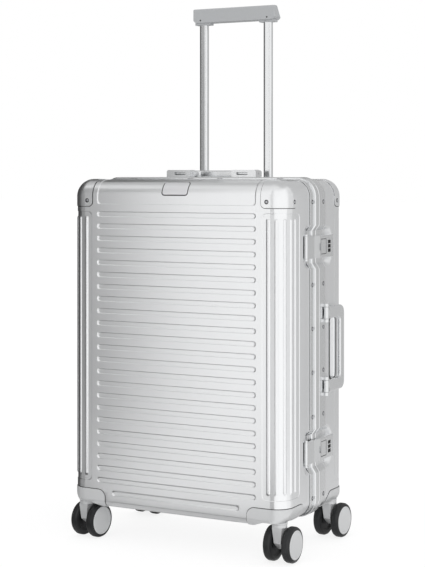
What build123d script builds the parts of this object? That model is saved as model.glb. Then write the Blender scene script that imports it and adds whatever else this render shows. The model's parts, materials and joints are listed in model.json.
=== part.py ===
"""Medium aluminium suitcase on four twin-wheel casters, in millimetres, +Z up, standing on its wheels.

+X is the side with the locks and the side handle, -Y the grooved front. The front half is the lid.
"""
import os
from math import cos, radians, sin

from build123d import *

# Case
CASE_W = 428.0
CASE_H = 584.5
CASE_Z0 = 63.0
FRONT_Y = -124.0
REAR_Y = 124.0
SEAM_Y = 3.0
EDGE_R = 30.0
BOTTOM_R = 12.0
WALL = 2.0
HALF_W = CASE_W / 2
CASE_Z1 = CASE_Z0 + CASE_H
MID_Z = CASE_Z0 + CASE_H / 2
PAST = 20.0

# Pressed grooves of the front and the rear panel
GROOVE_COUNT = 23
GROOVE_PITCH = 21.6
GROOVE_TOP_Z = 586.0
GROOVE_LENGTH = 317.0
GROOVE_H = 10.0
GROOVE_DEPTH = 1.2
GROOVE_TAPER = 40.0
SHORT_GROOVE_LENGTH = 254.0
SHORT_GROOVE_Z = 89.5
LOW_GROOVE_TURN = 35.0
BADGE_PANEL_X = 158.0
BADGE_PANEL_Y = -96.0
BADGE_PANEL_Z = 604.0
PANEL_DEPTH = 0.8
PANEL_R = 8.0

# Fluted corner panels
FLUTE_PANEL_X = 170.5
FLUTE_PANEL_Y = 67.0
FLUTE_PANEL_Z = (108.0, 590.5)
FLUTE_Z = (117.6, 581.6)
FLUTE_FIRST_X = 181.5
FLUTE_PITCH = 15.2
FLUTE_COUNT = 5
FLUTE_R = 4.2
FLUTE_PROUD = 1.0

# Rim frames: a flange on the shell, a bead along the seam, a web over the shell's edge and an inner lip
SEAM_GAP = 0.3
WEB = 7.0
BEAD = 4.5
FLANGE = 1.4
LIP = 1.5
LIP_DEPTH = 16.0
BEAD_CHAMFER = 1.6
FRONT_FLANGE_Y = -26.0
FRONT_BEAD_Y = -11.0
REAR_BEAD_Y = 17.0
REAR_FLANGE_Y = 38.0
SEAL_GROOVE = (-0.5, -2.9)
SEAL_GROOVE_DEPTH = 3.5
SEAL_SIDE_GAP = 0.2
SEAL_H = 1.7
TONGUE = (-1.0, -2.4)
TONGUE_H = 1.4

# Locks, in dents of the frame and the shells
LOCK_Z = (530.5, 176.0)
LOCK_NAMES = ("upper", "lower")
LOCK_HALF_H = 19.5
DENT = 7.0
DENT_FLOOR = 28.5
DENT_RAMP = 9.5
DENT_Y = (-52.0, 69.0)
DENT_END = 13.0
LOCK_TOP_X = 219.0
LOCK_BODY_Y = (4.0, 64.2)
LOCK_BUTTON_Y = (11.0, 33.0)
LOCK_BUTTON_HALF_H = 13.0
LOCK_BUTTON_T = 3.5
LOCK_BUTTON_GAP = 0.4
LOCK_BUTTON_POCKET = 5.5
LOCK_ROUND = 2.0
NOTCH_GAP = 0.7
NOTCH_Y1 = 8.6
NOTCH_HALF_H = 5.8
DIAL_Y = 46.0
DIAL_X = 213.2
DIAL_R = 5.2
DIAL_W = 5.4
DIAL_PITCH = 7.7
DIAL_AXLE_R = 1.2
DIAL_FIT = 0.06
DIAL_WINDOW = (5.7, 3.0)
DIAL_CHAMFER = 0.5
HASP_Y = (-46.0, 3.4)
HASP_PIVOT = (214.8, -42.6)
HASP_BARREL_R = 3.2
HASP_UNDER_X = 212.6
HASP_FLAT_X = 216.4
HASP_BEVEL_Y = -12.0
HASP_NOSE_X = 219.4
HASP_PIN_R = 1.25
HASP_LUG_W = 3.0
HASP_BASE_X = 210.6
HASP_BASE_Y = (-50.0, -28.0)
PRONG_Y1 = 7.8
PRONG_TOP_X = 215.6
PRONG_HALF_H = 5.0
RUNNING_FIT = 0.05

# Side hinges on the hidden side
HINGE_Z = (120.0, 355.25, 590.0)
HINGE_AXIS_X = -225.0
HINGE_HALF_H = 26.0
HINGE_MID_HALF_H = 8.7
HINGE_KNUCKLE_R = 4.0
HINGE_PIN_R = 2.0
HINGE_LEAF = 14.0
HINGE_LEAF_T = 2.0
HINGE_SPLIT = 0.6

# Caps and housings, which stand proud of seats pressed a little larger into the shells, and rivets
PROUD = 1.2
SEAT_GAP = 1.2
CAP_X = 168.7
CAP_Y = 80.0
CAP_Z = 600.0
CAP_R = 8.0
HOUSING_X = 142.0
HOUSING_Y = 50.0
HOUSING_Z = 93.5
HOUSING_R = 14.0
RIVET_R = 2.7
RIVET_TOP_R = 1.7
RIVET_H = 1.2
SIDE_RIVET_Z = (609.0, 465.0, 389.0, 313.0, 236.0, 95.0)
TOP_RIVET_X = (-150.0, -30.0, 30.0, 150.0)
FRONT_RIVET_Y = -17.0
REAR_RIVET_Y = 29.0
CAP_RIVET_X = 179.5
CAP_RIVET_Y = 89.6
CAP_RIVET_Z = 610.3
BADGE_HALF_W = 25.0
BADGE_Z = (621.0, 643.0)
BADGE_T = 1.2

# Top handle, folded back on the case
TOP_PIVOT = (20.0, 658.4)
TOP_ARM_X = (52.0, 76.0)
TOP_BRACKET_X = (43.0, 92.0)
TOP_BRACKET_Y = (9.0, 27.0)
TOP_BRACKET_Z1 = 665.0
TOP_BRACKET_ROUND = 4.0
TOP_BRACKET_WALL = 3.5
TOP_LOOP_Y1 = 76.0
TOP_GRIP_Y0 = 58.0
TOP_LOOP_Z = (653.6, 664.2)
TOP_BARREL_R = 4.8
TOP_SLOT_H = 5.0

# Side handle, folded back on the case
SIDE_PIVOT = (222.2, 27.0)
SIDE_LOOP_Z = (274.0, 424.0)
SIDE_ARM = 21.0
SIDE_LOOP_Y1 = 97.0
SIDE_GRIP_Y0 = 80.0
SIDE_LOOP_X = (218.0, 226.4)
SIDE_BARREL_R = 4.4
SIDE_BASE_T = 1.5
SIDE_BASE_Y = (17.6, 37.0)
SIDE_BASE_HALF_H = 21.5
SIDE_LUG_W = 5.5
FINGER_DISH_Y = (42.0, 77.0)
FINGER_DISH_Z = (299.0, 399.0)
FINGER_DISH_DEPTH = 6.0
FINGER_DISH_R = 12.0
FINGER_DISH_TAPER = 30.0
HANDLE_PIN_R = 2.0
HANDLE_GAP = 0.4
LOOP_R = 16.0
LOOP_ROUND = 2.6

# Trolley
TUBE_X = 67.5
TUBE_Y = 109.6
TUBE_SIZE = (17.0, 12.0)
TUBE_R = 5.0
TUBE_WALL = 1.2
SLEEVE_GAP = 0.4
SLEEVE_WALL = 1.1
PORT_X = 92.0
PORT_Y0 = 90.0
PORT_Z0 = 625.0
PORT_WALL = 2.5
PORT_FLOOR = 3.0
FOOT_Z = (98.0, 110.0)
FOOT_X = 82.0
FOOT_Y0 = 101.5
FOOT_ROUND = 4.0
GRIP_X = 86.0
GRIP_Z = (944.0, 970.0)
GRIP_FRONT_Y = 98.0
GRIP_TOP_Y = 110.0
GRIP_REAR_Y = 126.0
GRIP_REAR_EDGE = 3.0
GRIP_ROUND = 3.0
GRIP_END_ROUND = 2.0
GRIP_CORNER = 5.0
SOCKET_Z = 939.5
SOCKET_HALF = (15.5, 7.8)
TUBE_TOP_Z = 951.0
TUBE_OVERLAP = 70.0
ROD_BAR_X = 70.0
ROD_BAR_Y = (104.0, 113.0)
ROD_BAR_Z = (956.0, 961.5)
ROD_BAR_GAP = 2.0
ROD_R = 2.0
ROD_END_Z = 572.0
BUTTON_X = 20.0
BUTTON_Y = (100.6, 107.4)
BUTTON_TOP_Z = 969.6
BUTTON_GAP = 0.4
BUTTON_TRAVEL = 4.0
BUTTON_ROUND = 1.5

# Casters: pivot places, and the way each one trails
PIVOT_X = 193.6
PIVOT_Y = 103.4
CASTERS = {
    "front_left": (-PIVOT_X, -PIVOT_Y, -6.5),
    "front_right": (PIVOT_X, -PIVOT_Y, -1.0),
    "rear_left": (-PIVOT_X, PIVOT_Y, -5.0),
    "rear_right": (PIVOT_X, PIVOT_Y, -4.0),
}
TRAIL = 12.7
WHEEL_R = 30.5
WHEEL_W = 15.0
WHEEL_OFFSET = 17.4
TYRE_SHOULDER = (4.0, 1.3)
TYRE_DISH = (9.0, 22.0)
TYRE_DISH_DEPTH = 3.0
HUB_R = 24.7
HUB_T = 2.5
HUB_RIM = (0.9, 1.4, 2.6)
HUB_FACE = 0.3
AXLE_R = 3.0
WELL_R = (45.0, 30.0)
WELL_Z = (62.0, 70.0)
WELL_WALL = 2.0
BOSS_R = 13.4
BOSS_Z = 67.4
FORK_TOP_Z = 67.0
FORK_HEAD_Z = 61.6
FORK_HEAD_R = 13.0
FORK_HALF_TOP = 9.2
FORK_HALF_LOW = 6.5
FORK_LOW_Z = 36.0
FORK_NECK_Y = 10.5
FORK_NECK_H = 6.0
FORK_TOE_Y = -6.5
FORK_TOE_R = 2.5
FORK_BOSS_R = 9.5
STUD_R = 5.0
STUD_Z = (48.0, 71.5)
STUD_END_GAP = 0.5

# Lining
LINING_GAP = 4.2
LINING_T = 1.5
REAR_LINING_Y = 100.0
LINING_RIM = 1.0

FRONT_RIM_Y = SEAM_Y - WEB
REAR_RIM_Y = SEAM_Y + WEB
CENTRE_MIN = (Align.CENTER, Align.CENTER, Align.MIN)
CENTRE_MAX = (Align.CENTER, Align.CENTER, Align.MAX)


def block(x_range, y_range, z_range, mode=Mode.ADD):
    """Box between the given limits."""
    spans = (x_range, y_range, z_range)
    with Locations(tuple(sum(span) / 2 for span in spans)):
        return Box(*[abs(span[1] - span[0]) for span in spans], mode=mode)


def case_half(grow, y_rim, y_face):
    """Half of the case, grown outwards, from its rim to its outer face, fuller along the bottom edge."""
    with BuildPart() as half:
        block(
            (-HALF_W - grow, HALF_W + grow),
            (min(y_rim, y_face), max(y_rim, y_face)),
            (CASE_Z0 - grow, CASE_Z1 + grow),
        )
        off_rim = half.edges().filter_by(lambda edge: abs(edge.center().Y - y_rim) > 1)
        bottom_place = off_rim.filter_by(Axis.X).sort_by(Axis.Z)[0].center()
        fillet(off_rim.filter_by(lambda edge: edge.distance_to(bottom_place) > 1), EDGE_R + grow)
        fillet(half.edges().sort_by(lambda edge: edge.distance_to(bottom_place))[0], BOTTOM_R + grow)
    return half.part


def dent_outline(reach):
    """Corners of a lock dent, from a reach outside the wall to the dent's floor."""
    mouth = DENT_FLOOR + DENT_RAMP * (1 + reach / DENT)
    return [(reach, -mouth), (reach, mouth), (-DENT, DENT_FLOOR), (-DENT, -DENT_FLOOR)]


def lock_dents(side, grow):
    """Prisms that press one half's lock dents into the +X wall; the rear ones run out in a slope."""
    wall_x = HALF_W + grow
    front_y, rear_y = (DENT_Y[0] + grow, SEAM_Y - grow) if side < 0 else (SEAM_Y + grow, DENT_Y[1] - grow)
    run_out = DENT_END if side > 0 else 0
    with BuildPart() as dents:
        with BuildSketch(Plane.XZ):
            with Locations(*[(wall_x, z) for z in LOCK_Z]):
                Polygon(*dent_outline(PAST), align=None)
        extrude(amount=REAR_Y + PAST, both=True)
        with BuildSketch():
            Polygon(
                (wall_x - DENT, front_y),
                (wall_x + PAST, front_y),
                (wall_x + PAST, rear_y + run_out * PAST / DENT),
                (wall_x - DENT, rear_y - run_out),
                align=None,
            )
        extrude(amount=CASE_Z1, mode=Mode.INTERSECT)
    return dents.part


def case_outline(grow):
    """Outline of the case seen from the front, with the lock dents, grown outwards."""
    with BuildSketch() as outline:
        with Locations((0, MID_Z)):
            RectangleRounded(CASE_W + 2 * grow, CASE_H + 2 * grow, EDGE_R + grow)
        with Locations(*[(HALF_W + grow, z) for z in LOCK_Z]):
            Polygon(*dent_outline(PAST), align=None, mode=Mode.SUBTRACT)
    return outline.sketch


def rim_ring(outer, inner, y_range):
    """Ring that follows the case outline between two offsets from the shell, over a stretch of depth."""
    outer_outline = case_outline(outer)
    inner_outline = case_outline(inner)
    with BuildPart() as ring:
        with BuildSketch(Plane.XZ.offset(-y_range[0])):
            add(outer_outline)
            add(inner_outline, mode=Mode.SUBTRACT)
        extrude(amount=y_range[0] - y_range[1])
    return ring.part


def corner_region(side, x_min, y_min, z_range, radius, grow):
    """Room round both corners of one half: rounded outlines seen from the front and the side, crossed."""
    height = z_range[1] - z_range[0] + 2 * grow
    mid_z = sum(z_range) / 2
    far_x = HALF_W + PAST
    far_y = REAR_Y + PAST
    with BuildPart() as region:
        with BuildSketch(Plane.XZ):
            with Locations((far_x, mid_z)):
                RectangleRounded(2 * (far_x - x_min + grow), height, radius + grow)
        extrude(amount=far_y, both=True)
        with BuildSketch(Plane.YZ):
            with Locations((side * far_y, mid_z)):
                RectangleRounded(2 * (far_y - y_min + grow), height, radius + grow)
        extrude(amount=far_x, mode=Mode.INTERSECT)
        mirror(about=Plane.YZ)
    return region.part


def cap_region(side, grow):
    """Room of the upper corner caps of one half."""
    return corner_region(side, CAP_X, CAP_Y, (CAP_Z, CASE_Z1 + PAST), CAP_R, grow)


def housing_region(side, grow):
    """Room of the wheel housings of one half."""
    return corner_region(side, HOUSING_X, HOUSING_Y, (CASE_Z0 - PAST, HOUSING_Z), HOUSING_R, grow)


def wheel_wells(side, grow):
    """Shallow round recesses over the casters of one half, grown outwards."""
    with BuildPart() as wells:
        with Locations((PIVOT_X, side * PIVOT_Y, WELL_Z[0]), (-PIVOT_X, side * PIVOT_Y, WELL_Z[0])):
            Cone(WELL_R[0] + grow, WELL_R[1] + grow, WELL_Z[1] - WELL_Z[0] + grow, align=CENTRE_MIN)
            Cylinder(WELL_R[0] + grow, PAST, align=CENTRE_MAX)
    return wells.part


def flute_centres(side):
    """Centres of the flute rods of both corners of one side, seen from above."""
    inset = FLUTE_R - FLUTE_PROUD
    quarter = radians(90) * EDGE_R
    for index in range(FLUTE_COUNT):
        run = FLUTE_FIRST_X + index * FLUTE_PITCH - (HALF_W - EDGE_R)
        turn = min(max(run, 0.0), quarter) / EDGE_R
        x = HALF_W - EDGE_R + min(run, 0.0) + (EDGE_R - inset) * sin(turn)
        y = REAR_Y - EDGE_R + (EDGE_R - inset) * cos(turn) - max(run - quarter, 0.0)
        yield x, side * y
        yield -x, side * y


def finger_dish(grow):
    """Scoop in the +X wall behind the side handle, grown by a wall thickness."""
    with BuildPart() as dish:
        with BuildSketch(Plane.YZ.offset(HALF_W)):
            with Locations((sum(FINGER_DISH_Y) / 2, sum(FINGER_DISH_Z) / 2)):
                RectangleRounded(
                    FINGER_DISH_Y[1] - FINGER_DISH_Y[0] + 2 * grow,
                    FINGER_DISH_Z[1] - FINGER_DISH_Z[0] + 2 * grow,
                    FINGER_DISH_R + grow,
                )
        extrude(amount=-FINGER_DISH_DEPTH - grow, taper=FINGER_DISH_TAPER)
    return dish.part


def write(part, name):
    """Label a piece and write it to its own file."""
    part.label = name
    export_step(part, f"parts/{name}.step")


os.makedirs("parts", exist_ok=True)

# Shells: a rounded tray, pressed with grooves, flutes and dents
front_outer = case_half(0, FRONT_RIM_Y, FRONT_Y)
rear_outer = case_half(0, REAR_RIM_Y, REAR_Y)
GROOVE_PLACES = [(0, GROOVE_TOP_Z - index * GROOVE_PITCH) for index in range(GROOVE_COUNT)]


def shell_hollow(side, y_rim):
    """Inside of a shell, with the dents standing into it."""
    inside = case_half(-WALL, y_rim - side * PAST, side * (REAR_Y - WALL))
    pressings = [lock_dents(side, -WALL)]
    if side > 0:
        pressings.append(finger_dish(WALL))
    with BuildPart() as hollow:
        add(inside)
        for pressing in pressings:
            add(pressing, mode=Mode.SUBTRACT)
    return hollow.part


def pressed_floor(side):
    """Half of the case down to the floor of its shallow panels and seats."""
    y_rim = FRONT_RIM_Y if side < 0 else REAR_RIM_Y
    return case_half(-PANEL_DEPTH, y_rim, side * (REAR_Y - PANEL_DEPTH))


def shallow_panels(side):
    """What the flute panels, the seats of caps and housings and the lowest groove take from a half."""
    rooms = (
        corner_region(side, FLUTE_PANEL_X, FLUTE_PANEL_Y, FLUTE_PANEL_Z, PANEL_R, 0),
        cap_region(side, SEAT_GAP),
        housing_region(side, SEAT_GAP),
    )
    floor = pressed_floor(side)
    turn = radians(LOW_GROOVE_TURN)
    low_out = Vector(0, side * cos(turn), -sin(turn))
    low_place = Vector(0, side * (REAR_Y - BOTTOM_R), CASE_Z0 + BOTTOM_R) + low_out * BOTTOM_R
    with BuildPart() as panels:
        for room in rooms:
            add(room)
        with BuildSketch(Plane(low_place, x_dir=(1, 0, 0), z_dir=low_out)):
            SlotOverall(SHORT_GROOVE_LENGTH, GROOVE_H)
        extrude(amount=GROOVE_H / 2, both=True)
        if side < 0:
            with BuildSketch(Plane.XZ.offset(-BADGE_PANEL_Y)):
                with Locations((0, CASE_Z1)):
                    RectangleRounded(2 * BADGE_PANEL_X, 2 * (CASE_Z1 - BADGE_PANEL_Z), PANEL_R)
            extrude(amount=PAST - FRONT_Y + BADGE_PANEL_Y)
        add(floor, mode=Mode.SUBTRACT)
    return panels.part


def shell(side, outer, y_rim, pressed):
    """Pressed tray of one half, side -1 for the front and 1 for the rear."""
    hollow = shell_hollow(side, y_rim)
    panels = shallow_panels(side)
    wells = wheel_wells(side, WELL_WALL)
    face = Plane.XZ.offset(-side * REAR_Y)
    inwards = side * GROOVE_DEPTH
    with BuildPart() as tray:
        add(outer)
        add(pressed, mode=Mode.SUBTRACT)
        add(panels, mode=Mode.SUBTRACT)
        with BuildSketch(face):
            with Locations(*GROOVE_PLACES):
                SlotOverall(GROOVE_LENGTH, GROOVE_H)
            with Locations((0, SHORT_GROOVE_Z)):
                SlotOverall(SHORT_GROOVE_LENGTH, GROOVE_H)
        extrude(amount=inwards, taper=GROOVE_TAPER, mode=Mode.SUBTRACT)
        with BuildSketch(Plane.XY.offset(FLUTE_Z[0])):
            with Locations(*flute_centres(side)):
                Circle(FLUTE_R)
        extrude(amount=FLUTE_Z[1] - FLUTE_Z[0])
        add(hollow, mode=Mode.SUBTRACT)
        add(wells, mode=Mode.SUBTRACT)
    return tray.part


front_dents = lock_dents(-1, 0)
front_shell = shell(-1, front_outer, FRONT_RIM_Y, front_dents)
write(front_shell, "front_shell")

rear_dents = lock_dents(1, 0)
rear_dish = finger_dish(0)
with BuildPart() as rear_pressing:
    add(rear_dents)
    add(rear_dish)
    block((-PORT_X, PORT_X), (PORT_Y0, REAR_Y + PAST), (PORT_Z0, CASE_Z1 + PAST))
rear_shell = shell(1, rear_outer, REAR_RIM_Y, rear_pressing.part)
write(rear_shell, "rear_shell")

# Rim frames: the front one holds the seal in a groove, the rear one has the tongue
FRONT_FACE_Y = SEAM_Y - SEAM_GAP
REAR_FACE_Y = SEAM_Y + SEAM_GAP
WEB_SPAN = (FLANGE, -WALL - LIP)
LIP_SPAN = (-WALL, -WALL - LIP)
front_flange = rim_ring(FLANGE, 0, (FRONT_FLANGE_Y, FRONT_BEAD_Y))
front_bead = rim_ring(BEAD, 0, (FRONT_BEAD_Y, FRONT_FACE_Y))
front_web = rim_ring(*WEB_SPAN, (FRONT_RIM_Y, FRONT_FACE_Y))
front_lip = rim_ring(*LIP_SPAN, (FRONT_RIM_Y - LIP_DEPTH, FRONT_RIM_Y))
seal_groove = rim_ring(*SEAL_GROOVE, (FRONT_FACE_Y - SEAL_GROOVE_DEPTH, FRONT_FACE_Y))
rear_flange = rim_ring(FLANGE, 0, (REAR_BEAD_Y, REAR_FLANGE_Y))
rear_bead = rim_ring(BEAD, 0, (REAR_FACE_Y, REAR_BEAD_Y))
rear_web = rim_ring(*WEB_SPAN, (REAR_FACE_Y, REAR_RIM_Y))
rear_lip = rim_ring(*LIP_SPAN, (REAR_RIM_Y, REAR_RIM_Y + LIP_DEPTH))
tongue = rim_ring(*TONGUE, (FRONT_FACE_Y - TONGUE_H, REAR_FACE_Y))


def soft_bead(bead):
    """Bead ring with its outer edges broken."""
    with BuildPart() as softened:
        add(bead)
        ends = softened.faces().filter_by(Axis.Y)
        chamfer([edge for face in ends for edge in face.outer_wire().edges()], BEAD_CHAMFER)
    return softened.part


front_bead_soft = soft_bead(front_bead)
rear_bead_soft = soft_bead(rear_bead)

with BuildPart() as front_frame:
    add(front_bead_soft)
    add(front_flange)
    add(front_web)
    add(front_lip)
    add(seal_groove, mode=Mode.SUBTRACT)
write(front_frame.part, "front_frame")

with BuildPart() as rear_frame:
    add(rear_bead_soft)
    add(rear_flange)
    add(rear_web)
    add(rear_lip)
    add(tongue)
write(rear_frame.part, "rear_frame")

seal_outer, seal_inner = SEAL_GROOVE
SEAL_Y0 = FRONT_FACE_Y - SEAL_GROOVE_DEPTH
frame_seal = rim_ring(seal_outer - SEAL_SIDE_GAP, seal_inner + SEAL_SIDE_GAP, (SEAL_Y0, SEAL_Y0 + SEAL_H))
write(frame_seal, "frame_seal")

# Corner caps and wheel housings: skins that follow the shell
front_grown = case_half(PROUD, FRONT_RIM_Y, FRONT_Y - PROUD)
rear_grown = case_half(PROUD, REAR_RIM_Y, REAR_Y + PROUD)


def corner_skins(side, grown, region):
    """Skins over both corners of one half, on the seats inside a region."""
    floor = pressed_floor(side)
    with BuildPart() as skins:
        add(grown)
        add(region, mode=Mode.INTERSECT)
        add(floor, mode=Mode.SUBTRACT)
    return skins.part


def housings(side, grown):
    """Wheel housings of one half: skins with a well whose boss holds the swivel stud."""
    skins = corner_skins(side, grown, housing_region(side, 0))
    well_outside = wheel_wells(side, WELL_WALL)
    well_inside = wheel_wells(side, 0)
    pivots = [(sign * PIVOT_X, side * PIVOT_Y, BOSS_Z) for sign in (-1, 1)]
    with BuildPart() as moulded:
        add(well_outside)
        add(grown, mode=Mode.INTERSECT)
        add(skins)
        add(well_inside, mode=Mode.SUBTRACT)
        with Locations(*pivots):
            Cylinder(BOSS_R, WELL_Z[1] - BOSS_Z, align=CENTRE_MIN)
            Cylinder(STUD_R, STUD_Z[1] - BOSS_Z, align=CENTRE_MIN, mode=Mode.SUBTRACT)
    return moulded.part


for half_name, half_side, half_grown in (("front", -1, front_grown), ("rear", 1, rear_grown)):
    caps = corner_skins(half_side, half_grown, cap_region(half_side, 0))
    write(caps, f"{half_name}_corner_caps")
    write(housings(half_side, half_grown), f"{half_name}_wheel_housings")
    with BuildPart() as studs:
        with Locations(*[(sign * PIVOT_X, half_side * PIVOT_Y, STUD_Z[0]) for sign in (-1, 1)]):
            Cylinder(STUD_R, STUD_Z[1] - STUD_Z[0], align=CENTRE_MIN)
    write(studs.part, f"{half_name}_caster_studs")

# Badge plate on the upper front rounding, left bare
badge_skin = case_half(BADGE_T - PANEL_DEPTH, FRONT_RIM_Y, FRONT_Y - BADGE_T + PANEL_DEPTH)
panel_floor = pressed_floor(-1)
with BuildPart() as badge_plate:
    add(badge_skin)
    block((-BADGE_HALF_W, BADGE_HALF_W), (FRONT_Y - PAST, BADGE_PANEL_Y), BADGE_Z, mode=Mode.INTERSECT)
    add(panel_floor, mode=Mode.SUBTRACT)
write(badge_plate.part, "badge_plate")


# Rivets of the frame flanges and the caps
def rivet_places(side, flange_y):
    """Places of one half's rivets, each turned to stand on its face."""
    flange_x = HALF_W + FLANGE
    for z in SIDE_RIVET_Z:
        yield Location((flange_x, flange_y, z), (0, 90, 0))
        yield Location((-flange_x, flange_y, z), (0, -90, 0))
    for x in TOP_RIVET_X:
        yield Location((x, flange_y, CASE_Z1 + FLANGE))
        yield Location((x, flange_y, CASE_Z0 - FLANGE), (180, 0, 0))
    for sign in (-1, 1):
        yield Location((sign * (HALF_W + PROUD), side * CAP_RIVET_Y, CAP_RIVET_Z), (0, sign * 90, 0))
        yield Location((sign * CAP_RIVET_X, side * (REAR_Y + PROUD), CAP_RIVET_Z), (-side * 90, 0, 0))


for half_name, half_side, flange_y in (("front", -1, FRONT_RIVET_Y), ("rear", 1, REAR_RIVET_Y)):
    with BuildPart() as rivets:
        with Locations(*rivet_places(half_side, flange_y)):
            Cone(RIVET_R, RIVET_TOP_R, RIVET_H, align=CENTRE_MIN)
    write(rivets.part, f"{half_name}_rivets")

# Locks
LOCK_FLOOR_X = HALF_W - DENT
for lock_z, lock_name in zip(LOCK_Z, LOCK_NAMES):
    lock_span = (lock_z - LOCK_HALF_H, lock_z + LOCK_HALF_H)
    dial_places = [(DIAL_X, DIAL_Y, lock_z + step * DIAL_PITCH) for step in (1, 0, -1)]
    with BuildPart() as lock_body:
        block((LOCK_FLOOR_X + BEAD, LOCK_TOP_X), LOCK_BODY_Y, lock_span)
        fillet(lock_body.edges().group_by(Axis.X)[-1], LOCK_ROUND)
        with BuildSketch(Plane.XY.offset(lock_span[0])):
            Polygon(
                (LOCK_FLOOR_X + BEAD, REAR_BEAD_Y),
                (LOCK_FLOOR_X + FLANGE, REAR_BEAD_Y),
                (LOCK_FLOOR_X + FLANGE, REAR_FLANGE_Y),
                (LOCK_FLOOR_X, REAR_FLANGE_Y),
                (LOCK_FLOOR_X, DENT_Y[1] - DENT_END),
                (LOCK_FLOOR_X + BEAD, DENT_Y[1] - DENT_END * (1 - BEAD / DENT)),
                align=None,
            )
        extrude(amount=2 * LOCK_HALF_H)
        block((LOCK_TOP_X - LOCK_BUTTON_POCKET, LOCK_TOP_X),
              (LOCK_BUTTON_Y[0] - LOCK_BUTTON_GAP, LOCK_BUTTON_Y[1] + LOCK_BUTTON_GAP),
              (lock_z - LOCK_BUTTON_HALF_H - LOCK_BUTTON_GAP, lock_z + LOCK_BUTTON_HALF_H + LOCK_BUTTON_GAP),
              mode=Mode.SUBTRACT)
        block((HASP_UNDER_X - NOTCH_GAP, LOCK_TOP_X), (LOCK_BODY_Y[0], NOTCH_Y1),
              (lock_z - NOTCH_HALF_H, lock_z + NOTCH_HALF_H), mode=Mode.SUBTRACT)
        for _, dial_y, dial_z in dial_places:
            block((DIAL_X - DIAL_WINDOW[0], LOCK_TOP_X), (dial_y - DIAL_WINDOW[0], dial_y + DIAL_WINDOW[0]),
                  (dial_z - DIAL_WINDOW[1], dial_z + DIAL_WINDOW[1]), mode=Mode.SUBTRACT)
        with Locations((DIAL_X, DIAL_Y, lock_z)):
            Cylinder(DIAL_AXLE_R, 2 * LOCK_HALF_H - 2 * LOCK_ROUND)
    write(lock_body.part, f"lock_body_{lock_name}")

    with BuildPart() as lock_button:
        block((LOCK_TOP_X - LOCK_BUTTON_T, LOCK_TOP_X), LOCK_BUTTON_Y,
              (lock_z - LOCK_BUTTON_HALF_H, lock_z + LOCK_BUTTON_HALF_H))
        fillet(lock_button.edges().group_by(Axis.X)[-1], LOCK_ROUND / 2)
    write(lock_button.part, f"lock_button_{lock_name}")

    for number, dial_place in enumerate(dial_places, start=1):
        with BuildPart() as dial:
            with Locations(dial_place):
                Cylinder(DIAL_R, DIAL_W)
                Cylinder(DIAL_AXLE_R + DIAL_FIT, DIAL_W, mode=Mode.SUBTRACT)
            chamfer(dial.edges().filter_by(GeomType.CIRCLE).group_by(SortBy.RADIUS)[-1], DIAL_CHAMFER)
        write(dial.part, f"dial_{lock_name}_{number}")

    pivot_x, pivot_y = HASP_PIVOT
    with BuildPart() as hasp:
        with BuildSketch(Plane.XY.offset(lock_span[0])):
            with BuildLine():
                Polyline(
                    (HASP_UNDER_X, pivot_y),
                    (HASP_UNDER_X, HASP_Y[1]),
                    (HASP_NOSE_X, HASP_Y[1]),
                    (HASP_FLAT_X, HASP_BEVEL_Y),
                    (HASP_FLAT_X, HASP_Y[0] + HASP_BARREL_R),
                    (pivot_x, HASP_Y[0]),
                    (pivot_x, pivot_y),
                    close=True,
                )
            make_face()
            with Locations(HASP_PIVOT):
                Circle(HASP_BARREL_R)
        extrude(amount=2 * LOCK_HALF_H)
        block((HASP_UNDER_X, PRONG_TOP_X), (HASP_Y[1] - HASP_BARREL_R, PRONG_Y1),
              (lock_z - PRONG_HALF_H, lock_z + PRONG_HALF_H))
        with Locations((pivot_x, pivot_y, lock_z)):
            Cylinder(HASP_PIN_R + RUNNING_FIT, 2 * LOCK_HALF_H, mode=Mode.SUBTRACT)
    write(hasp.part, f"hasp_{lock_name}")

with BuildPart() as hasp_bases:
    for lock_z in LOCK_Z:
        reach = LOCK_HALF_H + HANDLE_GAP + HASP_LUG_W
        block((LOCK_FLOOR_X, HASP_BASE_X), HASP_BASE_Y, (lock_z - reach, lock_z + reach))
        for sign in (-1, 1):
            lug_z = sorted((lock_z + sign * reach, lock_z + sign * (reach - HASP_LUG_W)))
            with BuildSketch(Plane.XY.offset(lug_z[0])):
                with Locations(HASP_PIVOT):
                    Circle(HASP_BARREL_R)
                with Locations(((LOCK_FLOOR_X + HASP_PIVOT[0]) / 2, HASP_PIVOT[1])):
                    Rectangle(HASP_PIVOT[0] - LOCK_FLOOR_X, 2 * HASP_BARREL_R)
            extrude(amount=HASP_LUG_W)
        with Locations((*HASP_PIVOT, lock_z)):
            Cylinder(HASP_PIN_R, 2 * reach, mode=Mode.SUBTRACT)
write(hasp_bases.part, "hasp_bases")

with BuildPart() as hasp_pins:
    with Locations(*[(*HASP_PIVOT, lock_z) for lock_z in LOCK_Z]):
        Cylinder(HASP_PIN_R, 2 * (LOCK_HALF_H + HANDLE_GAP + HASP_LUG_W))
write(hasp_pins.part, "hasp_pins")


# Case hinges
def hinge_leaves(side, spans, pin_hole):
    """Leaves of the three hinges on one half, with their knuckles over the given spans of height."""
    seat_x = -HALF_W - BEAD
    with BuildPart() as leaves:
        for z in HINGE_Z:
            near = SEAM_Y + side * HINGE_SPLIT
            block((seat_x - HINGE_LEAF_T, seat_x), sorted((near, near + side * HINGE_LEAF)),
                  (z - HINGE_HALF_H, z + HINGE_HALF_H))
            for span in spans:
                block((HINGE_AXIS_X, seat_x), sorted((near, SEAM_Y + side * HINGE_KNUCKLE_R)),
                      (z + span[0], z + span[1]))
                with Locations((HINGE_AXIS_X, SEAM_Y, z + span[0])):
                    Cylinder(HINGE_KNUCKLE_R, span[1] - span[0], align=CENTRE_MIN)
            with Locations((HINGE_AXIS_X, SEAM_Y, z)):
                Cylinder(pin_hole, 2 * HINGE_HALF_H, mode=Mode.SUBTRACT)
    return leaves.part


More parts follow.
